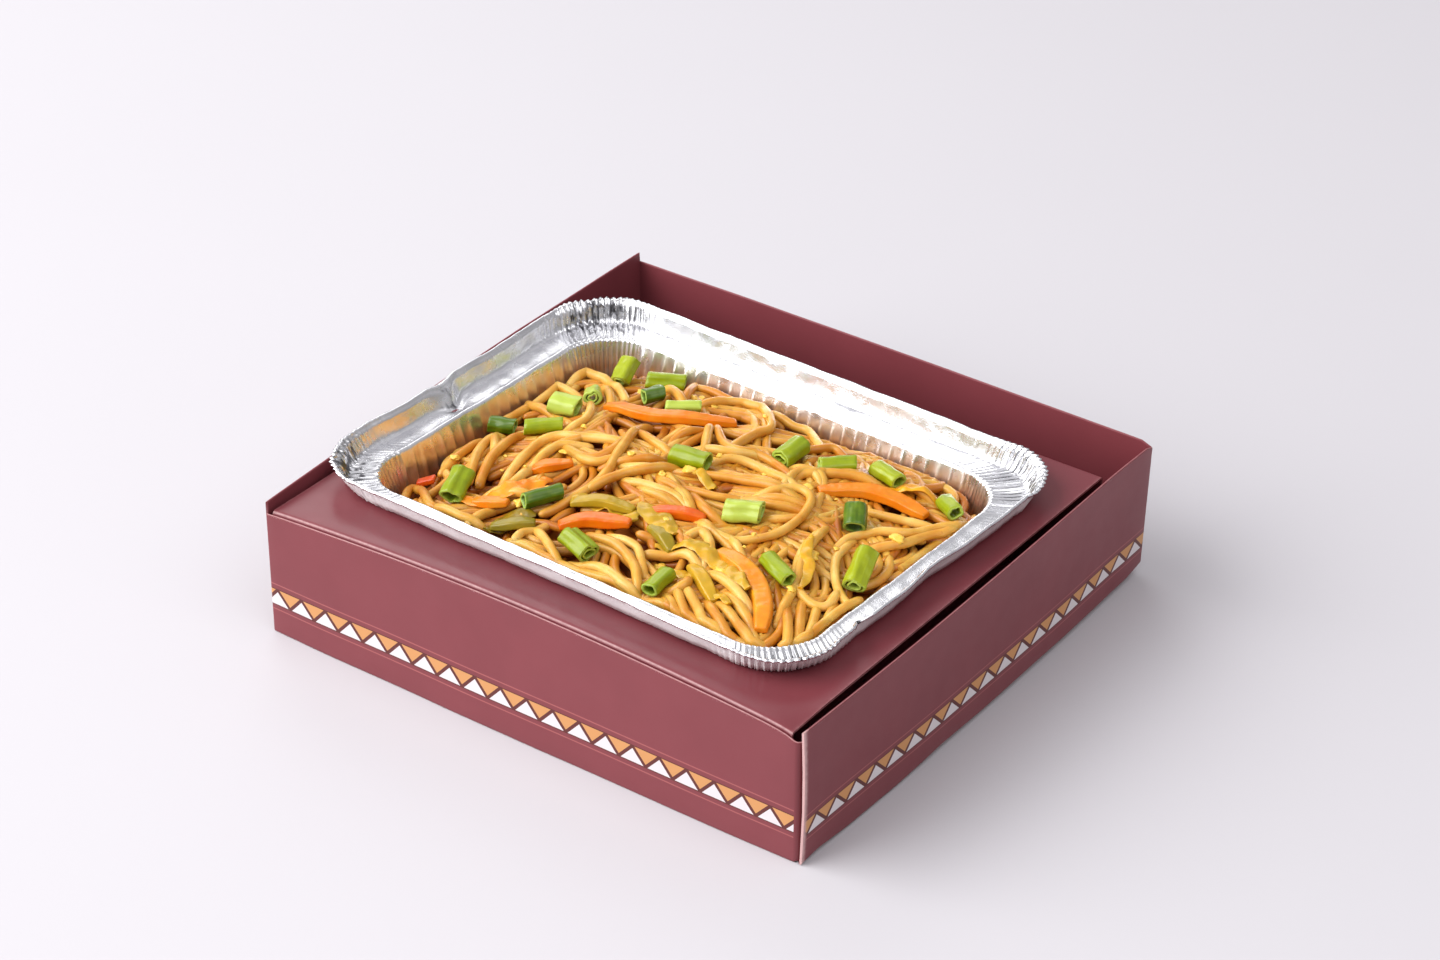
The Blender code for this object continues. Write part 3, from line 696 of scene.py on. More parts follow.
def tray_ring(offset, corner_steps, long_steps, short_steps):
    """Points round the tray's opening, moved out by offset, as x, y, way out and corner share."""
    radius = max(2.0, TRAY_RADIUS + offset * (RIM_SQUARE if offset > 0.0 else 1.0))
    half_x, half_y = TRAY_HALF[0] + offset, TRAY_HALF[1] + offset
    signs = ((1, 1, long_steps), (-1, 1, short_steps), (-1, -1, long_steps), (1, -1, short_steps))
    centers = [(sx * (half_x - radius), sy * (half_y - radius), n) for sx, sy, n in signs]
    ring = []
    for index, (cx, cy, side_steps) in enumerate(centers):
        for step in range(corner_steps + 1):
            share = step / corner_steps
            angle = math.pi / 2.0 * (index + share)
            out = (math.cos(angle), math.sin(angle))
            bulge = math.sin(math.pi * share)
            ring.append((cx + radius * out[0], cy + radius * out[1], *out, bulge))
        nx, ny, _ = centers[(index + 1) % 4]
        out = (math.cos(math.pi / 2.0 * (index + 1)), math.sin(math.pi / 2.0 * (index + 1)))
        for step in range(1, side_steps):
            share = step / side_steps
            x = cx + (nx - cx) * share + radius * out[0]
            y = cy + (ny - cy) * share + radius * out[1]
            ring.append((x, y, *out, 0.0))
    return ring


print("tray opening:", 2 * TRAY_HALF[0], "by", 2 * TRAY_HALF[1], "mm")

# %% Deck section
DECK_LOW, DECK_HIGH = ([side / MM for side in corner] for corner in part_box("deck"))
DECK_TOP = 47.6
DECK_FOOT = DECK_LOW[2]
GAP = DECK_FOOT - BOARD
DECK_REAR = DECK_HIGH[1]
DECK_FOLD = 1.6
DECK_ROLL = 19.0  # how far back the shelf's raised edge reaches
BEND_STEPS = 7
ROLL_STEPS = 12
# The deck's folds are pale partly from cracked varnish and partly as a painted highlight on their
# crest; its cut ends show the pale core.
DECK_PALE = {"front": 0.62, "rear": 0.35, "cut": 0.4}
FOLD_MIDDLE = 0.8  # the turn, in radians, where a fold is palest
FOLD_WIDTH = {"front": 0.3, "rear": 0.45}  # radians


def fold_pale(end, angle):
    """How pale the deck's front or rear fold is at a turn."""
    return DECK_PALE[end] * math.exp(-(((angle - FOLD_MIDDLE) / FOLD_WIDTH[end]) ** 2))


def deck_section(x):
    """The sheet's section at x as (y, z, pale) points, outer face first."""
    share = min(1.0, max(0.0, x / CORNER_X / 2.0 + 0.5))
    inside = BOARD + GAP - CORNER_Y
    foot = inside - END_BOW * arc(share)
    front = inside - FRONT_TOP_BOW * arc(share)
    rise = FRONT_ARCH * arc(share) - end_droop(x)
    outer, inner = [(foot, DECK_FOOT, 0.0)], [(foot + BOARD, DECK_FOOT, 0.0)]
    for line, radius in ((outer, DECK_FOLD), (inner, DECK_FOLD - BOARD)):
        for step in range(BEND_STEPS + 1):
            angle = math.pi / 2.0 * step / BEND_STEPS
            y = front + DECK_FOLD - math.cos(angle) * radius
            z = DECK_TOP + rise - DECK_FOLD + math.sin(angle) * radius
            line.append((y, z, fold_pale("front", angle)))
        for step in range(1, ROLL_STEPS + 1):
            along = step / ROLL_STEPS
            z = DECK_TOP + rise * 0.5 * (1.0 + math.cos(math.pi * along))
            z -= DECK_FOLD - radius
            line.append((front + DECK_FOLD + DECK_ROLL * along, z, 0.0))
        for step in range(BEND_STEPS + 1):
            angle = math.pi / 2.0 * (1.0 - step / BEND_STEPS)
            y = DECK_REAR - DECK_FOLD + math.cos(angle) * radius
            z = DECK_TOP - DECK_FOLD + math.sin(angle) * radius
            line.append((y, z, fold_pale("rear", angle)))
    outer.append((DECK_REAR, DECK_FOOT, 0.0))
    inner.append((DECK_REAR - BOARD, DECK_FOOT, 0.0))
    return outer + inner[::-1]


print("points of the deck's section:", len(deck_section(0.0)))

# %% Deck mesh
DECK_CUT = 4.0  # how far the cut stands out from the tray's opening
DECK_STEPS = 56
CUT_BELOW, CUT_ABOVE = 4.0, 1.5  # how far the cutter goes past the shelf's top


def cut_out(piece, outline, low, high):
    """Cuts an outline through a piece with a Boolean that is then applied."""
    points = [(x * MM, y * MM, z * MM) for z in (low, high) for x, y in outline]
    mesh = bpy.data.meshes.new("cutter")
    mesh.from_pydata(points, [], loft(2, len(outline)) + caps(2, len(outline)))
    face_outwards(mesh)
    cutter = add_object("cutter", mesh)
    boolean = piece.modifiers.new("cut", "BOOLEAN")
    boolean.operation = "DIFFERENCE"
    boolean.object = cutter
    graph = bpy.context.evaluated_depsgraph_get()
    result = bpy.data.meshes.new_from_object(piece.evaluated_get(graph))
    piece.modifiers.clear()
    piece.data = result
    bpy.data.objects.remove(cutter, do_unlink=True)


def make_deck():
    """The bent sheet with the tray's opening cut out of its shelf."""
    points, pales = [], []
    for step in range(DECK_STEPS + 1):
        share = step / DECK_STEPS
        x = DECK_LOW[0] + (DECK_HIGH[0] - DECK_LOW[0]) * share
        cut = DECK_PALE["cut"] if step in (0, DECK_STEPS) else 0.0
        for y, z, pale in deck_section(x):
            points.append((x, y, z))
            pales.append(max(pale, cut))
    length = len(deck_section(0.0))
    faces = loft(DECK_STEPS + 1, length) + caps(DECK_STEPS + 1, length)
    values = {"pale": pales}
    deck = add_piece("folded_deck", points, faces, deck_board, ["deck"], 50.0, values)
    hole = [to_box(x, y) for x, y, *_ in tray_ring(DECK_CUT, 16, 1, 1)]
    cut_out(deck, hole, DECK_TOP - CUT_BELOW, DECK_TOP + CUT_ABOVE)
    return deck


print("deck after its cut:", len(make_deck().data.polygons), "faces")

# %% [markdown]
# ## Foil tray
# The tray is pressed from thin foil. The press leaves upright flutes down the walls, gathers
# the spare metal of each corner into tight radial pleats, and rolls the rim's edge outwards.
# Handling leaves soft dents. The shell is one closed loft, inside and outside, and the flutes,
# pleats, dents and crinkles are real moves of its points.

# %% Profile of the tray
TRAY_LOW, TRAY_HIGH = ([side / MM for side in corner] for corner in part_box("tray"))
LEDGE_TOP = DECK_TOP + GAP + 0.5
TRAY_FLOOR = TRAY_LOW[2] + 0.5
RIM_TOP = TRAY_HIGH[2]
TAPER = 10.0  # how far the wall leans in from the ledge to its foot
FOOT = 3.0  # radius of the foot
LEDGE = 9.6  # width of the ledge
FLARE = 2.4  # how far the flange leans out
BEAD = 0.62  # radius of the rolled edge
WALL_IN, WALL_UNDER = 0.5, 0.9  # where the fluted wall ends, from the opening and the ledge
# Rows over the rounded edge of the ledge, as offset, height over it, pleat and corner push
LEDGE_EDGE = (
    (-0.35, -0.4, 0.35, 0.0), (0.05, 0.1, 0.35, 0.0), (0.6, 0.3, 0.4, 0.05), (1.3, 0.1, 0.45, 0.1),
)
LEDGE_FLAT = (2.2, 6.4)  # where the flat of the ledge starts, and its width
FLOOR_ROWS, WALL_ROWS, LEDGE_ROWS, FLANGE_ROWS, BEAD_ROWS = 5, 12, 4, 7, 7


def tray_profile():
    """Rows as offset, height, pleat, flute, corner push and face: 1 inside, -1 outside."""
    wall_foot = TRAY_FLOOR + FOOT
    wall_high = LEDGE_TOP - WALL_UNDER - wall_foot
    rows = [(-TAPER - FOOT, TRAY_FLOOR, 0.0, 0.0, 0.0, 1)]
    for step in range(1, FLOOR_ROWS):
        angle = math.pi / 2.0 * step / FLOOR_ROWS
        offset = -TAPER - FOOT + FOOT * math.sin(angle) * 0.96
        rows.append((offset, TRAY_FLOOR + FOOT * (1.0 - math.cos(angle)), 0.0, 0.2, 0.0, 1))
    for step in range(WALL_ROWS + 1):
        share = step / WALL_ROWS
        flute = min(1.0, share * 5.0 + 0.2) * min(1.0, (1.0 - share) * 6.0)
        offset = -TAPER * (1.0 - share) - WALL_IN * share
        rows.append((offset, wall_foot + wall_high * share, 0.45, flute, 0.0, 1))
    for offset, height, pleat, push in LEDGE_EDGE:
        rows.append((offset, LEDGE_TOP + height, pleat, 0.0, push, 1))
    for step in range(LEDGE_ROWS + 1):
        share = step / LEDGE_ROWS
        offset = LEDGE_FLAT[0] + LEDGE_FLAT[1] * share
        rows.append((offset, LEDGE_TOP, 0.5 + 0.4 * share, 0.0, 0.15 + 0.15 * share, 1))
    rows.append((LEDGE - 0.2, LEDGE_TOP + 0.25, 1.0, 0.0, 0.33, 1))
    for step in range(1, FLANGE_ROWS):
        share = step / FLANGE_ROWS
        height = LEDGE_TOP + (RIM_TOP - LEDGE_TOP) * share
        rows.append((LEDGE + FLARE * share, height, 1.0, 0.0, 0.33 + 0.67 * share, 1))
    for step in range(BEAD_ROWS):
        angle = math.radians(200.0 - 44.0 * step)
        offset = LEDGE + FLARE + 0.2 + BEAD * (1.0 + math.cos(angle))
        rows.append((offset, RIM_TOP - BEAD + BEAD * math.sin(angle), 0.6, 0.0, 1.0, 0))
    inner = [row for row in rows if row[5] == 1][::-1]
    for offset, height, pleat, flute, push, _ in inner[:16:2] + inner[16:-1:3] + inner[-1:]:
        rows.append((offset, height, pleat, flute, push, -1))
    return rows


tray_rows = tray_profile()
print("rows of the tray:", len(tray_rows))

# %% Pleats
CORNER_STEPS = 150
SIDE_STEPS = (210, 150)
PLEAT_PITCH = 2.2
PLEAT_FADE = 5.0  # how fast the pleats die out along a straight side


def fold_wave(place, seed):
    """A sharp-edged wave from -1 to 1 of uneven folds, one to each step of place."""
    cell = math.floor(place)
    share = place - cell
    size = 0.65 + 0.6 * noise.noise(Vector((cell * 1.7, seed, 3.1)))
    lean = 0.5 + 0.22 * noise.noise(Vector((cell * 2.3, seed, 8.4)))
    rise = share / lean if share < lean else (1.0 - share) / (1.0 - lean)
    return size * (2.0 * rise - 1.0)


def pleat_plan():
    """For each place of a ring: the pleat's shape, from -1 to 1, and how strong it is."""
    plan = []
    run, before = 0.0, None
    long_end = TRAY_HALF[0] - TRAY_RADIUS
    short_end = TRAY_HALF[1] - TRAY_RADIUS
    for x, y, out_x, out_y, corner in tray_ring(LEDGE, CORNER_STEPS, *SIDE_STEPS):
        run += math.dist(before, (x, y)) if before else 0.0
        before = (x, y)
        away = long_end - abs(x) if abs(out_y) > abs(out_x) else short_end - abs(y)
        ease = 0.3 * math.exp(-max(0.0, away) / PLEAT_FADE)
        ease = max(ease, corner**0.4)
        wave = fold_wave(run / PLEAT_PITCH, 1.0)
        fine = fold_wave(run / PLEAT_PITCH * 2.15, 5.0) * 0.3
        plan.append((wave + fine, wave * 0.7 - fine, ease))
    return plan


pleats = pleat_plan()
print("points of a ring:", len(pleats))

# %% Flutes, pushed corners and crinkles
CORNER_PUSH = {"left": 0.6, "right": 2.2}
OPENING_PUSH = 2.6  # how far the opening's front left corner stands out
OPENING_REACH = 7.0  # from the opening, where that push has died out
FLUTE_PITCH = 4.9
FLUTE_DEPTH = {"back": 1.7, "rest": 0.9}
FLUTE_UNEVEN = 31.0  # over this length the flutes change their depth
CRINKLE = ((13.0, 0.38), (4.2, 0.2), (1.5, 0.06))  # size and depth


def flute_depth(x, y, out_x, out_y, corner):
    """How deep a whole flute presses the wall in, at a point of a ring."""
    side_run = x if abs(out_y) > abs(out_x) else y
    rib = abs(math.sin(math.pi * side_run / FLUTE_PITCH))
    uneven = 0.75 + 0.6 * noise.noise(Vector((x, y, 0.0)) / FLUTE_UNEVEN)
    depth = FLUTE_DEPTH["back" if out_y > 0.7 else "rest"]
    return depth * (1.0 - rib) ** 1.6 * max(0.15, uneven) * (1.0 - corner)


def corner_push(x, y, offset, share, corner):
    """How far a corner of the rim or of the opening stands out."""
    push = CORNER_PUSH["right" if x > 0.0 else "left"] * share * corner
    if x < 0.0 and y < 0.0:
        near = (1.0 - offset / OPENING_REACH) if offset > 0.0 else 1.0 + offset / TAPER
        push += OPENING_PUSH * max(0.0, near) * corner
    return push


def crinkle(spot, strength):
    """How far crumpling moves a point out and up."""
    out, rise = 0.0, 0.0
    for size, depth in CRINKLE:
        cell = Vector(spot) / size
        out += noise.noise(cell) * depth * strength
        rise += noise.noise(cell + Vector((9.0, 4.0, 2.0))) * depth * strength * 0.6
    return out, rise


# %% Dents
KINK_REACH = 8.0  # dents smaller than this have a crumpled middle
# Dents as a pixel of the photograph, its height, reach along the rim, push inwards and drop
DENTS = {
    "left_kink": ((449, 388), 55.0, 5.0, 3.2, 2.4),
    "left_ledge_kink": ((457, 402), 51.0, 4.0, 1.2, 3.0),
    "left_run": ((428, 408), 55.0, 17.0, 1.7, 0.0),
    "left_soft": ((505, 360), 55.0, 18.0, 0.6, 0.3),
    "right_bend": ((935, 564), 56.0, 11.0, 1.6, 0.2),
    "right_kink": ((866, 621), 56.0, 3.4, 2.6, 1.2),
    "front_soft": ((560, 575), 56.0, 26.0, 0.7, 0.0),
}
dents = [
    (*to_tray(*on_level(pixel, height)), reach, inward, down)
    for pixel, height, reach, inward, down in DENTS.values()
]
print("dents:", len(dents))


def dent_at(x, y):
    """How far the dents push a point of the rim inwards and down, and how crumpled it is."""
    push, drop, crumple = 0.0, 0.0, 0.0
    for dent_x, dent_y, reach, inward, down in dents:
        weight = math.exp(-((x - dent_x) ** 2 + (y - dent_y) ** 2) / reach**2)
        push += inward * weight
        drop += down * weight
        if reach < KINK_REACH:
            crumple = max(crumple, weight)
    return push, drop, crumple


# %% Points of the shell
FOIL = 0.3
PLEAT_DEPTH = 1.1
PLEAT_LIFT = 0.75
CORNER_CRUSH = {"left": 2.4, "right": 0.5}  # how much deeper the crinkles are in the corners
KINK_CRUSH = 2.4  # and in the middle of a kink
CREASE_SHADE_SIZE = 1.7
FLAT_TO = 0.4  # offset up to which pleats don't lift the foil and nothing crumples it
DENT_BELOW, DENT_HIGH = 2.0, 8.0  # a dent's drop grows from below the ledge to the rim
STILL_FLOOR = 4.0  # up to this height over the floor, points move up and down less
NOODLE_REFLECTION_DEPTH = 10.0  # how far under the ledge the painted warm reflection of the noodles is whole
FLAT_EDGE = 0.3  # the ledge's flat starts this far out and ends this far before its edge
FOIL_UNDER_BEAD = 0.3  # share of the foil's thickness


def make_tray_points():
    """Every point of the shell, with the three values that its finish reads."""
    points = []
    values = {"stain": [], "valley": [], "outside": []}
    for offset, height, pleat, flute, push_share, face in tray_rows:
        ring = tray_ring(offset, CORNER_STEPS, *SIDE_STEPS)
        on_rim = offset > FLAT_TO
        for (x, y, out_x, out_y, corner), (wave, lift, ease) in zip(ring, pleats):
            out = wave * PLEAT_DEPTH * pleat * ease
            rise = lift * PLEAT_LIFT * pleat * ease * on_rim
            out += corner_push(x, y, offset, push_share, corner)
            out -= flute_depth(x, y, out_x, out_y, corner) * flute
            push, drop, crumple = dent_at(x, y)
            crushed = CORNER_CRUSH["left" if x < 0.0 else "right"] * ease
            crushed = max(crushed, KINK_CRUSH * crumple) * on_rim
            crinkle_out, crinkle_rise = crinkle((x, y, height), 1.0 + crushed)
            out += crinkle_out
            rise += crinkle_rise
            if offset > 0.0:
                share = min(1.0, offset / LEDGE)
                out -= push * share
                rise -= drop * share * (height - LEDGE_TOP + DENT_BELOW) / DENT_HIGH
            rise *= min(1.0, max(0.0, (height - TRAY_FLOOR) / STILL_FLOOR))
            if face == -1:
                out += FOIL * (0.0 if FLAT_EDGE < offset < LEDGE - FLAT_EDGE else 1.0)
                rise -= FOIL * (1.0 if offset < LEDGE else FOIL_UNDER_BEAD)
            high = min(height + rise, RIM_TOP)
            points.append((*to_box(x + out_x * out, y + out_y * out), high))
            # Painted reflection: how strongly the inner wall below the ledge is tinted warm,
            # standing for the noodles mirrored in it.
            noodle_reflection = min(1.0, max(0.0, (LEDGE_TOP - height) / NOODLE_REFLECTION_DEPTH))
            values["stain"].append(noodle_reflection if face == 1 else 0.0)
            # Painted shade: a mask of dark patches in the pleats' valleys and crumpled spots,
            # standing for shade and dark reflections in the creases.
            crease = noise.noise(Vector((x, y, height * 0.7)) / CREASE_SHADE_SIZE) * 0.9 * crushed
            valley = max((0.05 - wave) * ease, crease * max(ease, crumple * 1.8)) * pleat
            values["valley"].append(max(0.0, valley) * (face > -1))
            values["outside"].append(1.0 if face == -1 else 0.0)
    return points, values


tray_points, tray_values = make_tray_points()
print("points of the tray:", len(tray_points))

# %% [markdown]
# Foil is a mirror that has been scuffed. Its roughness changes from bright runs to dull ones,
# and below the ledge a painted warm reflection of the noodles tints it, more in some places than
# others.
# The valleys of the pleats and the crumpled spots are painted dark, as painted shade and painted
# dark reflections in the creases. Its outside is the matt side of the sheet.


# %% Foil finish and piece
def foil_finish():
    """Bright scuffed metal, with a painted warm reflection of the noodles below the ledge and
    painted shade in the pleats' valleys.
    """
    foil = Finish("tray_foil")
    outside = foil.value("outside")
    scuffs = foil.speckle(7.0, 4.0)
    color = foil.mix(scuffs, srgb(222, 222, 226), srgb(244, 244, 246))
    # Painted reflection of the noodles: a warm tint on the inner wall below the ledge.
    noodle_reflection = foil.value("stain") * foil.speckle(12.0, 3.0).between(0.2, 0.55)
    color = foil.mix(noodle_reflection * 0.8, color, srgb(204, 150, 66))
    color = foil.mix(outside, color, srgb(246, 244, 245))
    # Painted shade and painted dark reflections in the pleats' valleys and crumpled spots.
    valley = foil.value("valley").between(0.05, 0.55) * foil.speckle(3.0).between(0.28, 0.55)
    color = foil.mix(valley * 0.85, color, srgb(58, 56, 62))
    crinkle = foil.speckle(2.4, 4.0) * 0.7 + foil.speckle(0.6, 2.0) * 0.3
    return foil.feed(
        Base_Color=color,
        Metallic=0.94 - outside * 0.86,
        Roughness=scuffs * 0.2 + 0.16 + noodle_reflection * 0.12 + outside * 0.15,
        Normal=foil.bump(crinkle, 0.16, 0.5),
    )


def make_tray():
    """The shell as one closed loft, with its two floors as caps."""
    length = len(tray_points) // len(tray_rows)
    faces = loft(len(tray_rows), length) + caps(len(tray_rows), length)
    finish = foil_finish()
    return add_piece("foil_tray", tray_points, faces, finish, ["tray"], 75.0, tray_values)


make_tray()

# %% [markdown]
# ## The heap
# The noodles are made as a cook would drop them: one after another, each lying on what is there
# already. A grid over the tray holds the height of the heap so far. A strand reads the grid
# under its path, smooths that into a line as stiff as a cooked noodle, and then raises the grid.
# A second grid holds the undersides of the toppings, which strands pass under. The form of the
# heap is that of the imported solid: low in the left corner and high in the middle.

# %% Form of the heap
HEAP_MIDDLE = 1.2  # over the ledge
HEAP_DROP = {"left": 14.0, "right": 7.0, "back": 10.0, "front": 5.5}
HEAP_BUMP = 2.6
HEAP_BUMP_SIZE = 17.0
NOODLE_RADIUS = 1.62
TOPPING_ROOM = 0.4  # room beside a strand that passes under a topping
CORE_DROP = 5.6  # how far the core lies under the bare heap
CELL = 0.75
TOPPINGS = sorted(
    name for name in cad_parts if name.split("_")[0] in ("onion", "carrot", "pepper")
)
NO_CEILING = 999.0  # stands for the height over a cell where no topping lies


def heap_height(x, y):
    """The bare heap's height at a place in the tray's frame."""
    u, v = x / TRAY_HALF[0], y / TRAY_HALF[1]
    side = HEAP_DROP["left"] * (-u) ** 2.4 if u < 0.0 else HEAP_DROP["right"] * u**3.0
    end = HEAP_DROP["back"] * v**2.4 if v > 0.0 else HEAP_DROP["front"] * (-v) ** 3.0
    bumps = noise.noise(Vector((x, y, 40.0)) / HEAP_BUMP_SIZE)
    return LEDGE_TOP + HEAP_MIDDLE - math.hypot(side, end) + HEAP_BUMP * bumps


def grid_index(x, y):
    """The grid cells of places in the tray's frame."""
    i = np.clip(np.rint((np.asarray(x) + TRAY_HALF[0]) / CELL).astype(int), 0, GRID[0] - 1)
    j = np.clip(np.rint((np.asarray(y) + TRAY_HALF[1]) / CELL).astype(int), 0, GRID[1] - 1)
    return i, j


def cell_place(i, j):
    """The middle of a grid cell, in the tray's frame."""
    return i * CELL - TRAY_HALF[0], j * CELL - TRAY_HALF[1]


GRID = [int(2.0 * half / CELL) + 2 for half in TRAY_HALF]
bare = np.zeros(GRID)
for i, j in np.ndindex(*GRID):
    bare[i, j] = heap_height(*cell_place(i, j))
top_now = bare - CORE_DROP
print("heap from", round(bare.min(), 1), "to", round(bare.max(), 1), "mm")


# %% Undersides of the toppings
def topping_undersides():
    """The lowest height that a strand must stay under, over the whole grid."""
    under = np.full(GRID, NO_CEILING)
    for name in TOPPINGS:
        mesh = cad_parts[name].data
        corners = [vert.co / MM for vert in mesh.vertices]
        tree = BVHTree.FromPolygons(corners, [tuple(face.vertices) for face in mesh.polygons])
        flat = np.array([to_tray(corner.x, corner.y) for corner in corners])
        low_i, low_j = grid_index(*flat.min(axis=0))
        high_i, high_j = grid_index(*flat.max(axis=0))
        for i in range(low_i, high_i + 1):
            for j in range(low_j, high_j + 1):
                x, y = to_box(*cell_place(i, j))
                hit = tree.ray_cast(Vector((x, y, 0.0)), Vector((0.0, 0.0, 1.0)))[0]
                if hit:
                    under[i, j] = min(under[i, j], hit.z)
    wide = under.copy()
    reach = int((NOODLE_RADIUS + TOPPING_ROOM) / CELL)
    for di in range(-reach, reach + 1):
        for dj in range(-reach, reach + 1):
            if math.hypot(di, dj) <= reach:
                wide = np.minimum(wide, np.roll(under, (di, dj), (0, 1)))
    return wide


ceiling = topping_undersides()
print("cells under toppings:", int((ceiling < NO_CEILING).sum()), "of", ceiling.size)

# %% [markdown]
# A strand's path comes from one of two places. The noodles that can be told apart in the
# photograph have routes written as pixels, which the camera's rays carry back to the heap. The
# noodles under them are laid in small bundles by a seeded walk that follows the nearest of
# the routes, because stir-fried noodles lie in locks, side by side.

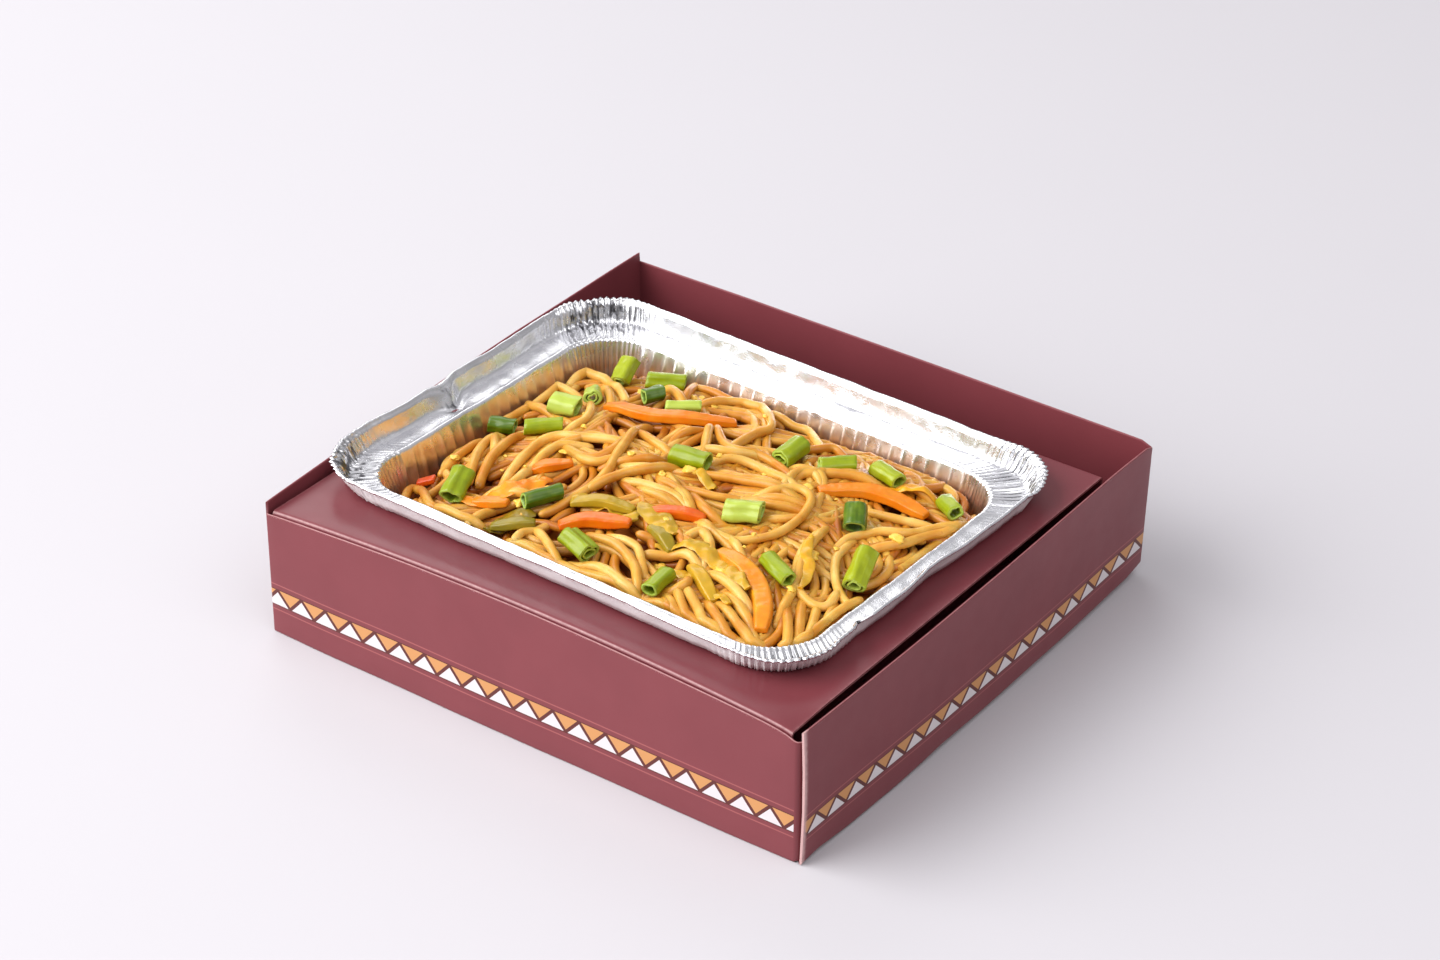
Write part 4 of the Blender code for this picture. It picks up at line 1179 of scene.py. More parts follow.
# %% Routes of the noodles that show, in pixels of the photograph
SEEN = {
    "left_inner_arc": (
        (495, 452), (496, 437), (504, 421), (517, 410), (533, 409), (550, 412), (561, 417),
    ),
    "left_arch": (
        (496, 413), (502, 408), (515, 398), (532, 391), (552, 389), (572, 392), (587, 400),
        (591, 411), (585, 422), (574, 428),
    ),
    "left_long_arc": (
        (479, 483), (482, 474), (491, 461), (504, 448), (520, 438), (539, 434), (554, 436),
    ),
    "left_sweep": (
        (506, 482), (512, 472), (524, 459), (541, 446), (559, 439), (576, 439), (598, 441),
        (619, 443),
    ),
    "left_low_arc": ((472, 469), (478, 456), (487, 445), (496, 439)),
    "wall_short": ((452, 463), (465, 454), (478, 445)),
    "back_left": ((548, 378), (570, 374), (593, 378), (611, 384), (622, 395)),
    "dip": ((570, 452), (583, 461), (598, 461), (613, 452), (620, 445)),
    "under_sweep": ((493, 493), (508, 489), (524, 476), (539, 461), (557, 450), (570, 447)),
    "left_corner_curl": ((404, 498), (408, 489), (415, 485), (422, 491), (426, 500), (430, 507)),
    "big_loop": (
        (673, 483), (681, 498), (693, 512), (701, 524), (716, 536), (734, 542), (754, 542),
        (775, 538), (793, 528), (805, 516), (811, 504), (807, 496), (795, 491), (775, 491),
    ),
    "upper_right_run": (
        (711, 451), (730, 455), (750, 457), (771, 461), (787, 465), (803, 471), (818, 479),
        (824, 489),
    ),
    "small_hook": ((787, 483), (795, 477), (807, 474), (820, 477), (824, 485), (820, 496)),
    "right_run": ((834, 547), (852, 538), (875, 534), (905, 536), (936, 532), (958, 528)),
    "right_run_low": ((875, 551), (901, 547), (926, 540), (954, 534)),
    "right_curl": ((844, 551), (836, 563), (835, 579), (840, 593), (850, 606), (860, 610)),
    "right_u": (
        (813, 540), (803, 553), (797, 567), (795, 583), (803, 600), (816, 610), (828, 608),
        (836, 596),
    ),
    "right_fall": ((818, 538), (803, 559), (799, 575), (793, 593), (783, 610)),
    "middle_left_run": ((640, 469), (652, 471), (667, 469)),
    "middle_diagonal": ((640, 485), (656, 491), (673, 498), (687, 508), (697, 520)),
    "pale_end": ((677, 526), (681, 538), (689, 551)),
    "small_curl": ((689, 538), (699, 534), (707, 540), (710, 551), (707, 559)),
    "under_loop": ((732, 542), (740, 551), (748, 563), (752, 571)),
    "fan_1": ((691, 598), (699, 616), (707, 634)),
    "fan_2": ((705, 596), (713, 614), (724, 630)),
    "fan_3": ((720, 604), (732, 618), (746, 636), (752, 647)),
    "fan_4": ((677, 593), (684, 614), (688, 622)),
    "fan_5": ((662, 591), (671, 604), (674, 614)),
    "fan_6": ((736, 604), (750, 620), (754, 636)),
    "right_fan_1": ((801, 612), (799, 632), (797, 649)),
    "right_fan_2": ((816, 614), (811, 632), (805, 649)),
    "right_fan_3": ((830, 616), (824, 630), (813, 642)),
    "right_fan_4": ((854, 612), (842, 628), (826, 640)),
    "right_fan_5": ((787, 616), (788, 632), (787, 647)),
    "loop_run": ((689, 475), (711, 479), (736, 483), (762, 487), (783, 491)),
    "loop_under": ((762, 518), (779, 522), (793, 520)),
    "right_under": ((873, 516), (893, 522), (913, 526), (930, 530)),
    "egg_coated": ((667, 551), (681, 553), (695, 561), (709, 571), (728, 585), (746, 604)),
    "loop_inside": ((767, 500), (783, 502), (799, 506)),
    "right_back": ((824, 475), (854, 479), (885, 487), (913, 491), (934, 502)),
    "centre_fall": (
        (646, 423), (635, 432), (625, 446), (615, 461), (606, 474), (589, 484), (571, 495),
        (560, 501),
    ),
    "left_dip": ((571, 453), (585, 463), (598, 465), (610, 461)),
    "left_upper": ((560, 446), (575, 442), (591, 438), (606, 440)),
    "middle_level": ((623, 463), (646, 461), (669, 459)),
    "middle_low": ((608, 480), (627, 476), (648, 472), (675, 469)),
    "to_block": ((644, 436), (656, 446), (669, 453)),
    "nub": ((669, 442), (679, 436), (690, 432)),
    "short_stem": ((710, 428), (707, 438), (705, 449)),
    "ridge": ((717, 430), (723, 442), (736, 451), (755, 457), (770, 465), (786, 474)),
    "brown_run": ((713, 463), (728, 461), (744, 465), (759, 472), (774, 478), (790, 484)),
    "top_curl": (
        (707, 405), (723, 404), (740, 405), (759, 409), (770, 421), (770, 432), (755, 438),
        (738, 444),
    ),
    "wall_arc": ((686, 398), (698, 386), (713, 384), (728, 392), (738, 402)),
    "wall_run": ((778, 417), (793, 425), (809, 434), (820, 448)),
    "back_short": ((663, 388), (675, 394), (684, 404)),
    "back_stub": ((606, 390), (610, 398), (612, 405)),
    "hook_tail": ((790, 482), (801, 476), (816, 476), (837, 474), (860, 478)),
    "pale_stub": ((638, 488), (656, 495), (673, 503)),
    "loop_inner": ((698, 503), (707, 513), (719, 520)),
    "behind_leaf": ((694, 493), (713, 499), (732, 501)),
    "beside_leaf": ((751, 503), (770, 507), (793, 511)),
    "over_loop": ((725, 476), (742, 482), (761, 484), (782, 490)),
    "back_right": ((807, 449), (818, 451), (834, 453), (845, 461)),
    "left_yellow": ((467, 523), (478, 513), (492, 504), (506, 496), (522, 494)),
    "front_left": ((433, 519), (451, 517), (467, 519)),
    "front_edge": ((524, 547), (539, 553), (555, 562), (573, 570), (594, 578), (608, 586)),
    "front_short": ((514, 543), (522, 533), (529, 529)),
    "front_arc": ((604, 541), (616, 547), (627, 558), (635, 570), (637, 582)),
    "front_run": ((584, 566), (600, 570), (616, 580), (627, 590)),
    "front_under": ((531, 521), (541, 533), (551, 547)),
    "front_loop": ((661, 590), (673, 592), (686, 586), (688, 578)),
    "white_end": ((637, 484), (651, 494), (669, 502)),
    "white_diagonal": ((671, 486), (686, 500), (696, 515), (710, 531), (720, 539)),
    "pale_wedge": ((676, 529), (686, 541), (696, 553)),
    "front_arc_low": ((624, 541), (637, 549), (641, 562)),
    "fan_7": ((648, 602), (653, 610), (655, 615)),
    "fan_8": ((664, 598), (667, 608), (669, 615)),
}
print("routes:", len(SEEN))

# %% Paths
STEP = 1.5
TAIL_STEPS = 5  # how far a seen noodle goes on at each end, diving under the rest
SEED = 11
SHOWN_ENDS = {  # noodles whose first end shows in the photograph
    "left_long_arc", "right_run", "pale_end", "nub", "pale_wedge", "white_end", "pale_stub",
    "hook_tail",
}
SEEN_LIFT = 1.6  # over the bare heap, where a ray meets a noodle that shows
HEAP_TRIES = 5  # rounds that find where a ray meets the uneven heap
CURVE_PARTS = 12  # parts between two knots
WALL_GAP = 1.3  # between a strand and the tray's wall


def on_heap(pixel):
    """Where a pixel's ray meets the heap, in the tray's frame."""
    height = LEDGE_TOP
    for _ in range(HEAP_TRIES):
        x, y = to_tray(*on_level(pixel, height))
        height = heap_height(x, y) + SEEN_LIFT
    return x, y


def smooth_path(knots, step):
    """Evenly spaced points on a smooth curve through the knots."""
    knots = [np.array(knot, float) for knot in knots]
    ends = [2.0 * knots[0] - knots[1]] + knots + [2.0 * knots[-1] - knots[-2]]
    fine = []
    for index in range(1, len(ends) - 2):
        a, b, c, d = ends[index - 1 : index + 3]
        for t in np.linspace(0.0, 1.0, CURVE_PARTS, endpoint=False):
            bend = (2 * a - 5 * b + 4 * c - d) * t**2 + (3 * b - a - 3 * c + d) * t**3
            fine.append(0.5 * (2 * b + (c - a) * t + bend))
    fine.append(knots[-1])
    fine = np.array(fine)
    run = np.concatenate([[0.0], np.cumsum(np.linalg.norm(np.diff(fine, axis=0), axis=1))])
    even = np.linspace(0.0, run[-1], max(3, round(run[-1] / step) + 1))
    return np.stack([np.interp(even, run, fine[:, axis]) for axis in (0, 1)], axis=1)


def keep_inside(path):
    """Moves points of a path in from the tray's wall, which leans."""
    i, j = grid_index(path[:, 0], path[:, 1])
    lean = TAPER / (LEDGE_TOP - TRAY_FLOOR - FOOT)
    margin = np.maximum(0.0, LEDGE_TOP - bare[i, j]) * lean + NOODLE_RADIUS + WALL_GAP
    sign = np.sign(path)
    beyond = np.abs(path) - (np.array(TRAY_HALF) - TRAY_RADIUS)
    outside = np.maximum(beyond, 0.0)
    distance = np.linalg.norm(outside, axis=1)
    both = (beyond > 0.0).all(axis=1)
    way = np.where(both[:, None], outside / np.maximum(distance, 1e-6)[:, None], 0.0)
    single = np.eye(2)[np.argmax(beyond, axis=1)]
    way = np.where(both[:, None], way, single)
    depth = np.where(both, distance, beyond.max(axis=1)) - TRAY_RADIUS
    excess = np.maximum(0.0, depth + margin)
    return path - way * sign * excess[:, None]


def seen_path(name):
    """A seen noodle's path, with a straight tail at each end that hides its cut."""
    path = smooth_path([on_heap(pixel) for pixel in SEEN[name]], STEP)
    away = np.arange(1, TAIL_STEPS + 1)[:, None]
    tail = path[-1] + (path[-1] - path[-2]) * away
    if name not in SHOWN_ENDS:
        head = path[0] + (path[0] - path[1]) * away[::-1]
        path = np.concatenate([head, path])
    return keep_inside(np.concatenate([path, tail]))


seen_paths = {name: seen_path(name) for name in SEEN}
flow_places = np.concatenate([path[:-1] for path in seen_paths.values()])
flow_ways = np.concatenate([np.diff(path, axis=0) for path in seen_paths.values()])
print("seen noodles:", round(sum(len(path) for path in seen_paths.values()) * STEP / 10.0), "cm")

# %% Bundles under them
BUNDLES = 118
BUNDLE_GAP = 3.25
BUNDLE_LENGTH = (50.0, 92.0)
BUNDLE_COUNTS = (1, 2, 2, 3)
BUNDLE_MARGIN = 7.0
BUNDLE_CUT = 8  # a strand is shorter than its bundle by up to this many steps at each end
SPREAD = 0.5  # how far a bundle starts off the way of the nearest route, in radians
BEND = 0.055  # the tightest turn, in radians for each millimetre
FIRST_BEND = 0.03
WANDER = 0.012
HOME_FROM = 0.88  # share of the reach from which a bundle turns back
HOME_TURN = 0.11  # radians for each step


def bundle_paths(rng):
    """One to three strands side by side along one wandering line."""
    reach = np.array(TRAY_HALF) - BUNDLE_MARGIN
    here = np.array([rng.uniform(-1.0, 1.0), rng.uniform(-1.0, 1.0)]) * reach
    nearest = np.argmin(np.linalg.norm(flow_places - here, axis=1))
    heading = math.atan2(flow_ways[nearest][1], flow_ways[nearest][0]) + rng.gauss(0.0, SPREAD)
    bend = rng.uniform(-FIRST_BEND, FIRST_BEND)
    line, ways = [], []
    for _ in range(int(rng.uniform(*BUNDLE_LENGTH) / STEP)):
        line.append(here.copy())
        ways.append((-math.sin(heading), math.cos(heading)))
        bend = max(-BEND, min(BEND, bend + rng.uniform(-WANDER, WANDER)))
        if (np.abs(here) / reach).max() > HOME_FROM:
            home = math.atan2(-here[1], -here[0])
            turn = (home - heading + math.pi) % (2.0 * math.pi) - math.pi
            heading += math.copysign(min(abs(turn), HOME_TURN), turn)
        heading += bend * STEP
        here = here + np.array([math.cos(heading), math.sin(heading)]) * STEP
    line, ways = np.array(line), np.array(ways)
    count = rng.choice(BUNDLE_COUNTS)
    made = []
    for index in range(count):
        aside = (index - (count - 1) / 2.0) * BUNDLE_GAP * (1.0 + 0.1 * rng.random())
        start = rng.randrange(0, BUNDLE_CUT)
        end = len(line) - rng.randrange(0, BUNDLE_CUT)
        made.append(keep_inside((line + ways * aside)[start:end]))
    return made


rng = random.Random(SEED)
under_paths = [path for _ in range(BUNDLES) for path in bundle_paths(rng)]
print("strands under them:", len(under_paths))

# %% [markdown]
# Here and there the bundles leave a gap. More bundles are drawn, and from each strand only the
# longest run over such a gap is kept. These short lengths are laid first, so they lie lowest.

# %% Lengths that fill the gaps
FILLER_TRIES = 300
FILLER_LEAST = 7  # steps over a gap
FILLER_SPARE = 5  # steps more at each end
COVER = 2  # grid cells to each side of a strand's middle
covered = np.zeros(GRID, bool)


def cover(path):
    """Marks the grid cells under a strand."""
    i, j = grid_index(*path.T)
    for di in range(-COVER, COVER + 1):
        for dj in range(-COVER, COVER + 1):
            covered[np.clip(i + di, 0, GRID[0] - 1), np.clip(j + dj, 0, GRID[1] - 1)] = True


def longest_gap(path):
    """First and last step of a path's longest run over cells that no strand covers."""
    best, start = (0, 0), None
    free = list(~covered[grid_index(*path.T)]) + [False]
    for step, is_free in enumerate(free):
        if is_free and start is None:
            start = step
        elif not is_free and start is not None:
            best = max(best, (start, step), key=lambda run: run[1] - run[0])
            start = None
    return best


for path in under_paths:
    cover(path)
fillers = []
filler_rng = random.Random(SEED + 1)
for _ in range(FILLER_TRIES):
    for path in bundle_paths(filler_rng):
        start, end = longest_gap(path)
        if end - start >= FILLER_LEAST:
            fillers.append(path[max(0, start - FILLER_SPARE) : end + FILLER_SPARE])
            cover(fillers[-1])
under_paths = fillers + under_paths
print("lengths in the gaps:", len(fillers), "covered:", round(float(covered.mean()), 2))

# %% Laying the strands
GIVE = 0.45  # how far a crossing presses a strand in
UNDER_CAP = 0.5  # the most that an under strand's centre stands over the bare heap
SEEN_FLOOR, SEEN_CAP = 0.5, 3.2  # between these heights lies the centre of one that shows
DIVE, DIVE_STEPS = 3.4, 6.0  # how far a tail dives, and over how many steps
TOPPING_CLEAR = 0.15
SETTLE_ROUNDS = 6


def soften(line, rounds=1):
    """Smooths a line of heights over a few steps."""
    for _ in range(rounds):
        padded = np.concatenate([[line[0]] * 3, line, [line[-1]] * 3])
        line = np.convolve(padded, np.array([1, 2, 3, 4, 3, 2, 1]) / 16.0, "valid")
    return line


def across(path):
    """Unit vectors to the left of a path."""
    along = np.gradient(path, axis=0)
    along /= np.maximum(np.linalg.norm(along, axis=1), 1e-6)[:, None]
    return np.stack([-along[:, 1], along[:, 0]], axis=1)


def lay(path, radius, cap, floor=-99.0, dive=0.0):
    """Heights of a strand's centre along its path, and the grid raised to match."""
    side = across(path)
    need = np.full(len(path), -999.0)
    for offset in (-0.85, -0.45, 0.0, 0.45, 0.85):
        i, j = grid_index(*(path + side * offset * radius).T)
        need = np.maximum(need, top_now[i, j] + radius * math.sqrt(1.0 - offset**2))
    i, j = grid_index(*path.T)
    need = np.maximum(need, bare[i, j] + floor)
    highest = np.minimum(bare[i, j] + cap, ceiling[i, j] - radius - TOPPING_CLEAR)
    steps = np.arange(len(path))
    ends = np.minimum(steps, steps[::-1]) / DIVE_STEPS
    highest -= dive * np.clip(1.0 - ends, 0.0, 1.0) ** 1.5
    need = np.minimum(need, highest)
    height = need.copy()
    for _ in range(SETTLE_ROUNDS):
        height = np.minimum(np.maximum(soften(height), need - GIVE), highest)
    height = soften(height)
    for offset in np.linspace(-1.0, 1.0, 9):
        raised = height + radius * math.sqrt(max(0.0, 1.0 - offset**2))
        for shift in (0.0, 0.5):  # at each step and half way to the next
            spots = path[:-1] * (1.0 - shift) + path[1:] * shift
            cells = grid_index(*(spots + side[:-1] * offset * radius).T)
            np.maximum.at(top_now, cells, raised[:-1])
    return height


under_strands, seen_strands = [], []
for path in under_paths:
    radius = NOODLE_RADIUS * rng.uniform(0.88, 1.08)
    under_strands.append((path, lay(path, radius, UNDER_CAP), radius, rng.random()))
for path in seen_paths.values():
    radius = NOODLE_RADIUS * rng.uniform(0.92, 1.12)
    height = lay(path, radius, SEEN_CAP, SEEN_FLOOR, DIVE)
    seen_strands.append((path, height, radius, rng.random() * 0.7))
print("laid:", len(under_strands), "strands and", len(seen_strands), "over them")

# %% [markdown]
# A strand becomes a tube, a little uneven in thickness, with domed ends. Two values go with
# each point: a tint for its strand and how deep it lies. The finish reads them, so that deep
# strands carry more sauce and painted shade, the amber-brown of the shade between strands. The
# bed under the strands that show is a mesh of its own.

# %% Noodle mesh
DOME = (0.35, 0.78)  # share of the radius at a strand's last two rings
LUMP, LUMP_SIZE = 0.12, 5.0  # how uneven a strand's thickness is
DEEP_FROM, DEEP_RANGE = 1.5, 5.0  # heights over the bare heap's, where the sauce and painted shade of deep strands go from 0 to 1


def strand_rings(path, height, radius):
    """Centres and radii of a strand's rings, with its two domed ends."""
    center = np.column_stack([path, height])
    first = center[0] - (center[1] - center[0]) * 0.5
    last = center[-1] + (center[-1] - center[-2]) * 0.5
    center = np.concatenate([[first], center, [last]])
    radii = np.full(len(center), radius)
    radii[0] = radii[-1] = radius * DOME[0]
    radii[1] = radii[-2] = radius * DOME[1]
    return center, radii


def make_noodles(name, strands, sides, finish):
    """Strands as one mesh of tubes."""
    points, faces, tints, depths = [], [], [], []
    turns = np.arange(sides) * 2.0 * math.pi / sides
    for path, height, radius, tint in strands:
        center, radii = strand_rings(path, height, radius)
        along = np.gradient(center, axis=0)
        along /= np.linalg.norm(along, axis=1)[:, None]
        left = np.cross(along, (0.0, 0.0, 1.0))
        left /= np.maximum(np.linalg.norm(left, axis=1), 1e-6)[:, None]
        up = np.cross(left, along)
        first = len(points)
        for index in range(len(center)):
            lump = 1.0 + LUMP * noise.noise(Vector(center[index]) / LUMP_SIZE)
            i, j = grid_index(center[index][0], center[index][1])
            for turn in turns:
                way = left[index] * math.cos(turn) + up[index] * math.sin(turn)
                spot = center[index] + way * radii[index] * lump
                points.append((*to_box(spot[0], spot[1]), spot[2]))
                tints.append(tint)
                deep = (bare[i, j] + DEEP_FROM - spot[2]) / DEEP_RANGE
                depths.append(min(1.0, max(0.0, deep)))
        faces += loft(len(center), sides, first=first) + caps(len(center), sides, first)
    values = {"tint": tints, "deep": depths}
    return add_piece(name, points, faces, finish, ["noodles"], 80.0, values)


# %% [markdown]
# Cooked noodles are slightly see-through, so a little light goes in and comes out near by. Oil
# makes them glossy, and the soy sauce stains them unevenly, from cream to amber.


# %% Noodle finish
def noodle_finish():
    """Cream to amber noodle under a film of oil."""
    noodle = Finish(
        "noodle",
        Subsurface_Weight=0.22,
        Subsurface_Radius=(1.0, 0.42, 0.16),
        Subsurface_Scale=0.0022,
        IOR=1.38,
        Coat_Roughness=0.17,
        Coat_IOR=1.42,
    )
    smear = noodle.speckle(9.0, 3.0)
    stain = noodle.value("tint") * 0.42 + smear * 0.75 - 0.07
    stops = [
        (0.1, srgb(228, 191, 108)),
        (0.36, srgb(213, 160, 64)),
        (0.6, srgb(195, 126, 28)),
        (0.88, srgb(162, 83, 10)),
    ]
    color = noodle.node("ValToRGB", {"stops": stops}, {0: stain})
    # Partly sauce and partly painted shade: strands that lie deep are darkened to the amber-brown
    # of the shade between strands.
    color = noodle.mix(noodle.value("deep") * 0.92, color, srgb(150, 74, 12))
    specks = noodle.speckle(1.1, 2.0).between(0.66, 0.74)
    color = noodle.mix(specks * 0.4, color, srgb(170, 84, 24))
    return noodle.feed(
        Base_Color=color,
        Roughness=smear * 0.2 + 0.3,
        Coat_Weight=noodle.speckle(5.0) * 0.5 + 0.04,
        Normal=noodle.bump(noodle.speckle(1.0, 3.0), 0.12, 0.4),
    )


# %% Sauce and painted shade finish
def sauce_and_shade_finish():
    """The dark oily mass that shows between strands, dark partly from sauce and partly as painted
    shade of the gaps.
    """
    sauce_and_shade = Finish("sauce_and_shade", IOR=1.4, Coat_Roughness=0.1, Coat_IOR=1.4)
    # Partly sauce and partly painted shade: the core's dark amber stands for the shade in the gaps
    # between strands.
    color = sauce_and_shade.mix(sauce_and_shade.speckle(5.0, 3.0), srgb(150, 74, 20), srgb(192, 108, 34))
    return sauce_and_shade.feed(
        Base_Color=color,
        Roughness=sauce_and_shade.speckle(3.0) * 0.2 + 0.35,
        Coat_Weight=sauce_and_shade.speckle(8.0) * 0.4 + 0.3,
        Normal=sauce_and_shade.bump(sauce_and_shade.speckle(2.2, 3.0), 0.5, 0.7),
    )


# %% Core, bed and strands
CORE_RINGS = 16
CORE_STEPS = (9, 26, 18)  # round a corner, along a long side and along a short one
CORE_CLEAR = 1.0
RIDGE, RIDGE_SIZE = 0.9, 2.4
BED_SIDES, STRAND_SIDES = 8, 14


def make_core(finish):
    """What fills the tray under the strands, with low ridges like strands under sauce."""
    points = []
    floor = TRAY_FLOOR + GAP
    inside = -TAPER - CORE_CLEAR
    for offset, height in ((inside - FOOT, floor), (inside, floor + FOOT)):
        points += [(*to_box(x, y), height) for x, y, *_ in tray_ring(offset, *CORE_STEPS)]
    rim = []
    for x, y, out_x, out_y, _ in tray_ring(0.0, *CORE_STEPS):
        height = heap_height(x, y) - CORE_DROP
        lean = TAPER * (LEDGE_TOP - height) / (LEDGE_TOP - TRAY_FLOOR - FOOT) + CORE_CLEAR
        rim.append((x - out_x * lean, y - out_y * lean))
    for ring in range(CORE_RINGS):
        scale = 1.0 - ring / CORE_RINGS
        for x, y in rim:
            px, py = x * scale, y * scale
            ridge = noise.noise(Vector((px * 0.9, py * 0.35, 0.0)) / RIDGE_SIZE) * RIDGE
            points.append((*to_box(px, py), heap_height(px, py) - CORE_DROP + ridge))
    faces = loft(CORE_RINGS + 2, len(rim))
    faces.append(tuple(range(len(rim))))
    points.append((*to_box(0.0, 0.0), heap_height(0.0, 0.0) - CORE_DROP))
    last = (CORE_RINGS + 1) * len(rim)
    for step in range(len(rim)):
        faces.append((last + step, last + (step + 1) % len(rim), len(points) - 1))
    return add_piece("heap_core", points, faces, finish, ["noodles"], 80.0)


make_core(sauce_and_shade_finish())
noodle = noodle_finish()
make_noodles("noodle_bed", under_strands, BED_SIDES, noodle)
make_noodles("noodle_strands", seen_strands, STRAND_SIDES, noodle)

# %% [markdown]
# ## Spring onion
# Each piece is a short cut tube, often with the next leaf rolled up inside it. Its solid gives
# the place: the points of the solid lie at its two ends, so the line through them is the axis.
# Fresh leaf is bright green outside, pale where it is cut and near the root end, with fine
# ribs along it.

# %% Places of the cut tubes
SLANT = 0.16  # how far a cut leans, for each millimetre up
ONION_FLAT = 0.86  # height over width


def onion_place(name):
    """Middle, axis, side and up directions, length, width and top of a tube's solid."""
    points = np.array([vert.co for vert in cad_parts[name].data.vertices]) / MM
    points = np.unique(points.round(3), axis=0)
    middle = points.mean(axis=0)
    axis = np.linalg.svd(points - middle, full_matrices=False)[2][0]
    side = np.cross((0.0, 0.0, 1.0), axis)
    side /= np.linalg.norm(side)
    up = np.cross(axis, side)
    width = np.ptp((points - middle) @ side)
    length = np.ptp((points - middle) @ axis) - SLANT * width * ONION_FLAT
    return middle, axis, side, up, length, width, points[:, 2].max()


ONION_NAMES = [name for name in TOPPINGS if name.startswith("onion")]
SHADES = {"dark": 0.0, "bright": 0.5, "light": 0.75, "pale": 1.0}
ONION_SHADES = (
    "light bright dark pale pale bright dark bright dark bright bright "
    "pale bright bright light pale dark bright light bright bright"
).split()
print("first tube:", [round(float(value), 1) for value in onion_place("onion_01")[4:6]])

# %% Spring onion mesh
ONION_SIDES = 40
ONION_WALL = 1.15
ONION_FIT = 0.96
OUTER_STEPS, INNER_STEPS = 12, 8
CUT_SWELL = 0.25  # how far a cut edge bulges
INSIDE_PALE, INNER_END_PALE = 0.45, 0.6
CRUSH, CRUSH_FINE = 0.3, 0.16  # how uneven a tube's outline is
RIBS, RIB_HIGH = 17, 0.006
ROLLED_FROM = 3.3  # from this radius on, every third tube holds a second leaf
ROLLED_WALL, ROLLED_GAP, ROLLED_STICK = 0.7, 0.3, 0.5
ROLLED_PALER = 0.25


def onion_tube(place, outer, wall, stick, seed):
    """Points of one rolled leaf, and for each how far round, along, and how pale it is."""
    middle, axis, side, up, length, _, highest = place
    rows = [(-0.5 + step / OUTER_STEPS, 0.0, 0.0) for step in range(OUTER_STEPS + 1)]
    rows += [(0.5, 0.25, 1.0), (0.5, 0.75, 1.0)]
    for step in range(INNER_STEPS + 1):
        pale = INNER_END_PALE if step in (0, INNER_STEPS) else INSIDE_PALE
        rows.append((0.5 - step / INNER_STEPS, 1.0, pale))
    rows += [(-0.5, 0.75, 1.0), (-0.5, 0.25, 1.0)]
    points, rounds, alongs, cuts = [], [], [], []
    for along, depth, cut in rows:
        for step in range(ONION_SIDES):
            share = step / ONION_SIDES
            angle = 2.0 * math.pi * share
            turn_c, turn_s = math.cos(angle), math.sin(angle)
            rib = 1.0 + RIB_HIGH * math.cos(RIBS * angle) * (depth < 0.5)
            crush = 1.0 + CRUSH * noise.noise(Vector((turn_c, turn_s, seed)))
            crush += CRUSH_FINE * noise.noise(Vector((turn_c * 1.6, along * 2.4, seed)))
            radius = (outer * crush * rib) * ONION_FIT - wall * depth
            swell = math.copysign(CUT_SWELL * math.sin(math.pi * depth), along)
            up_by = turn_s * radius * ONION_FLAT
            along_by = along * (length + stick) + SLANT * up_by + swell
            spot = middle + axis * along_by + side * (turn_c * radius) + up * up_by
            points.append((spot[0], spot[1], min(spot[2], highest)))
            rounds.append(share)
            alongs.append(along + 0.5)
            cuts.append(cut)
    return points, rounds, alongs, cuts, len(rows)


def make_onions(finish):
    """All the pieces of spring onion as one mesh, which stands for their solids."""
    points, faces = [], []
    values = {"round": [], "along": [], "cut": [], "shade": []}
    for index, name in enumerate(ONION_NAMES):
        place = onion_place(name)
        outer = place[5] / 2.0
        leaves = [(outer, ONION_WALL, 0.0)]
        if outer > ROLLED_FROM and index % 3 == 0:
            leaves.append((outer - ONION_WALL - ROLLED_GAP, ROLLED_WALL, ROLLED_STICK))
        for leaf, (radius, wall, stick) in enumerate(leaves):
            seed = index + leaf * 0.5
            tube, rounds, alongs, cuts, rows = onion_tube(place, radius, wall, stick, seed)
            shell = loft(rows, ONION_SIDES)
            last = (rows - 1) * ONION_SIDES
            for step in range(ONION_SIDES):
                there = (step + 1) % ONION_SIDES
                shell.append((last + step, last + there, there, step))
            add_part(points, faces, tube, shell)
            values["round"] += rounds
            values["along"] += alongs
            values["cut"] += cuts
            shade = SHADES[ONION_SHADES[index]] + leaf * ROLLED_PALER
            values["shade"] += [min(1.0, shade)] * len(tube)
    return add_piece("spring_onion", points, faces, finish, ONION_NAMES, 60.0, values)


# %% Spring onion finish
def onion_finish():
    """Green leaf with pale ribs and pale cut edges."""
    leaf = Finish(
        "spring_onion",
        Subsurface_Weight=0.08,
        Subsurface_Radius=(1.0, 0.8, 0.2),
        Subsurface_Scale=0.0015,
        IOR=1.34,
        Coat_Roughness=0.14,
    )
    stops = [
        (0.0, srgb(68, 98, 2)),
        (0.45, srgb(128, 144, 0)),
        (0.75, srgb(150, 160, 2)),
        (1.0, srgb(168, 184, 72)),
    ]
    shade = leaf.value("shade") + (leaf.speckle(4.0, 3.0) - 0.5) * 0.5
    color = leaf.node("ValToRGB", {"stops": stops}, {0: shade})
    ribs = leaf.maths("SINE", leaf.value("round") * (2.0 * math.pi * RIBS)) * 0.5 + 0.5
    ribs = ribs * leaf.speckle(2.0, 2.0)
    color = leaf.mix(ribs * 0.1, color, srgb(176, 196, 60))
    color = leaf.mix(leaf.value("cut").between(0.2, 1.0) * 0.6, color, srgb(176, 206, 96))
    return leaf.feed(
        Base_Color=color,
        Roughness=leaf.speckle(3.0) * 0.2 + 0.3,
        Coat_Weight=leaf.speckle(6.0) * 0.5 + 0.05,
        Normal=leaf.bump(ribs, 0.06, 0.4),
    )


make_onions(onion_finish())

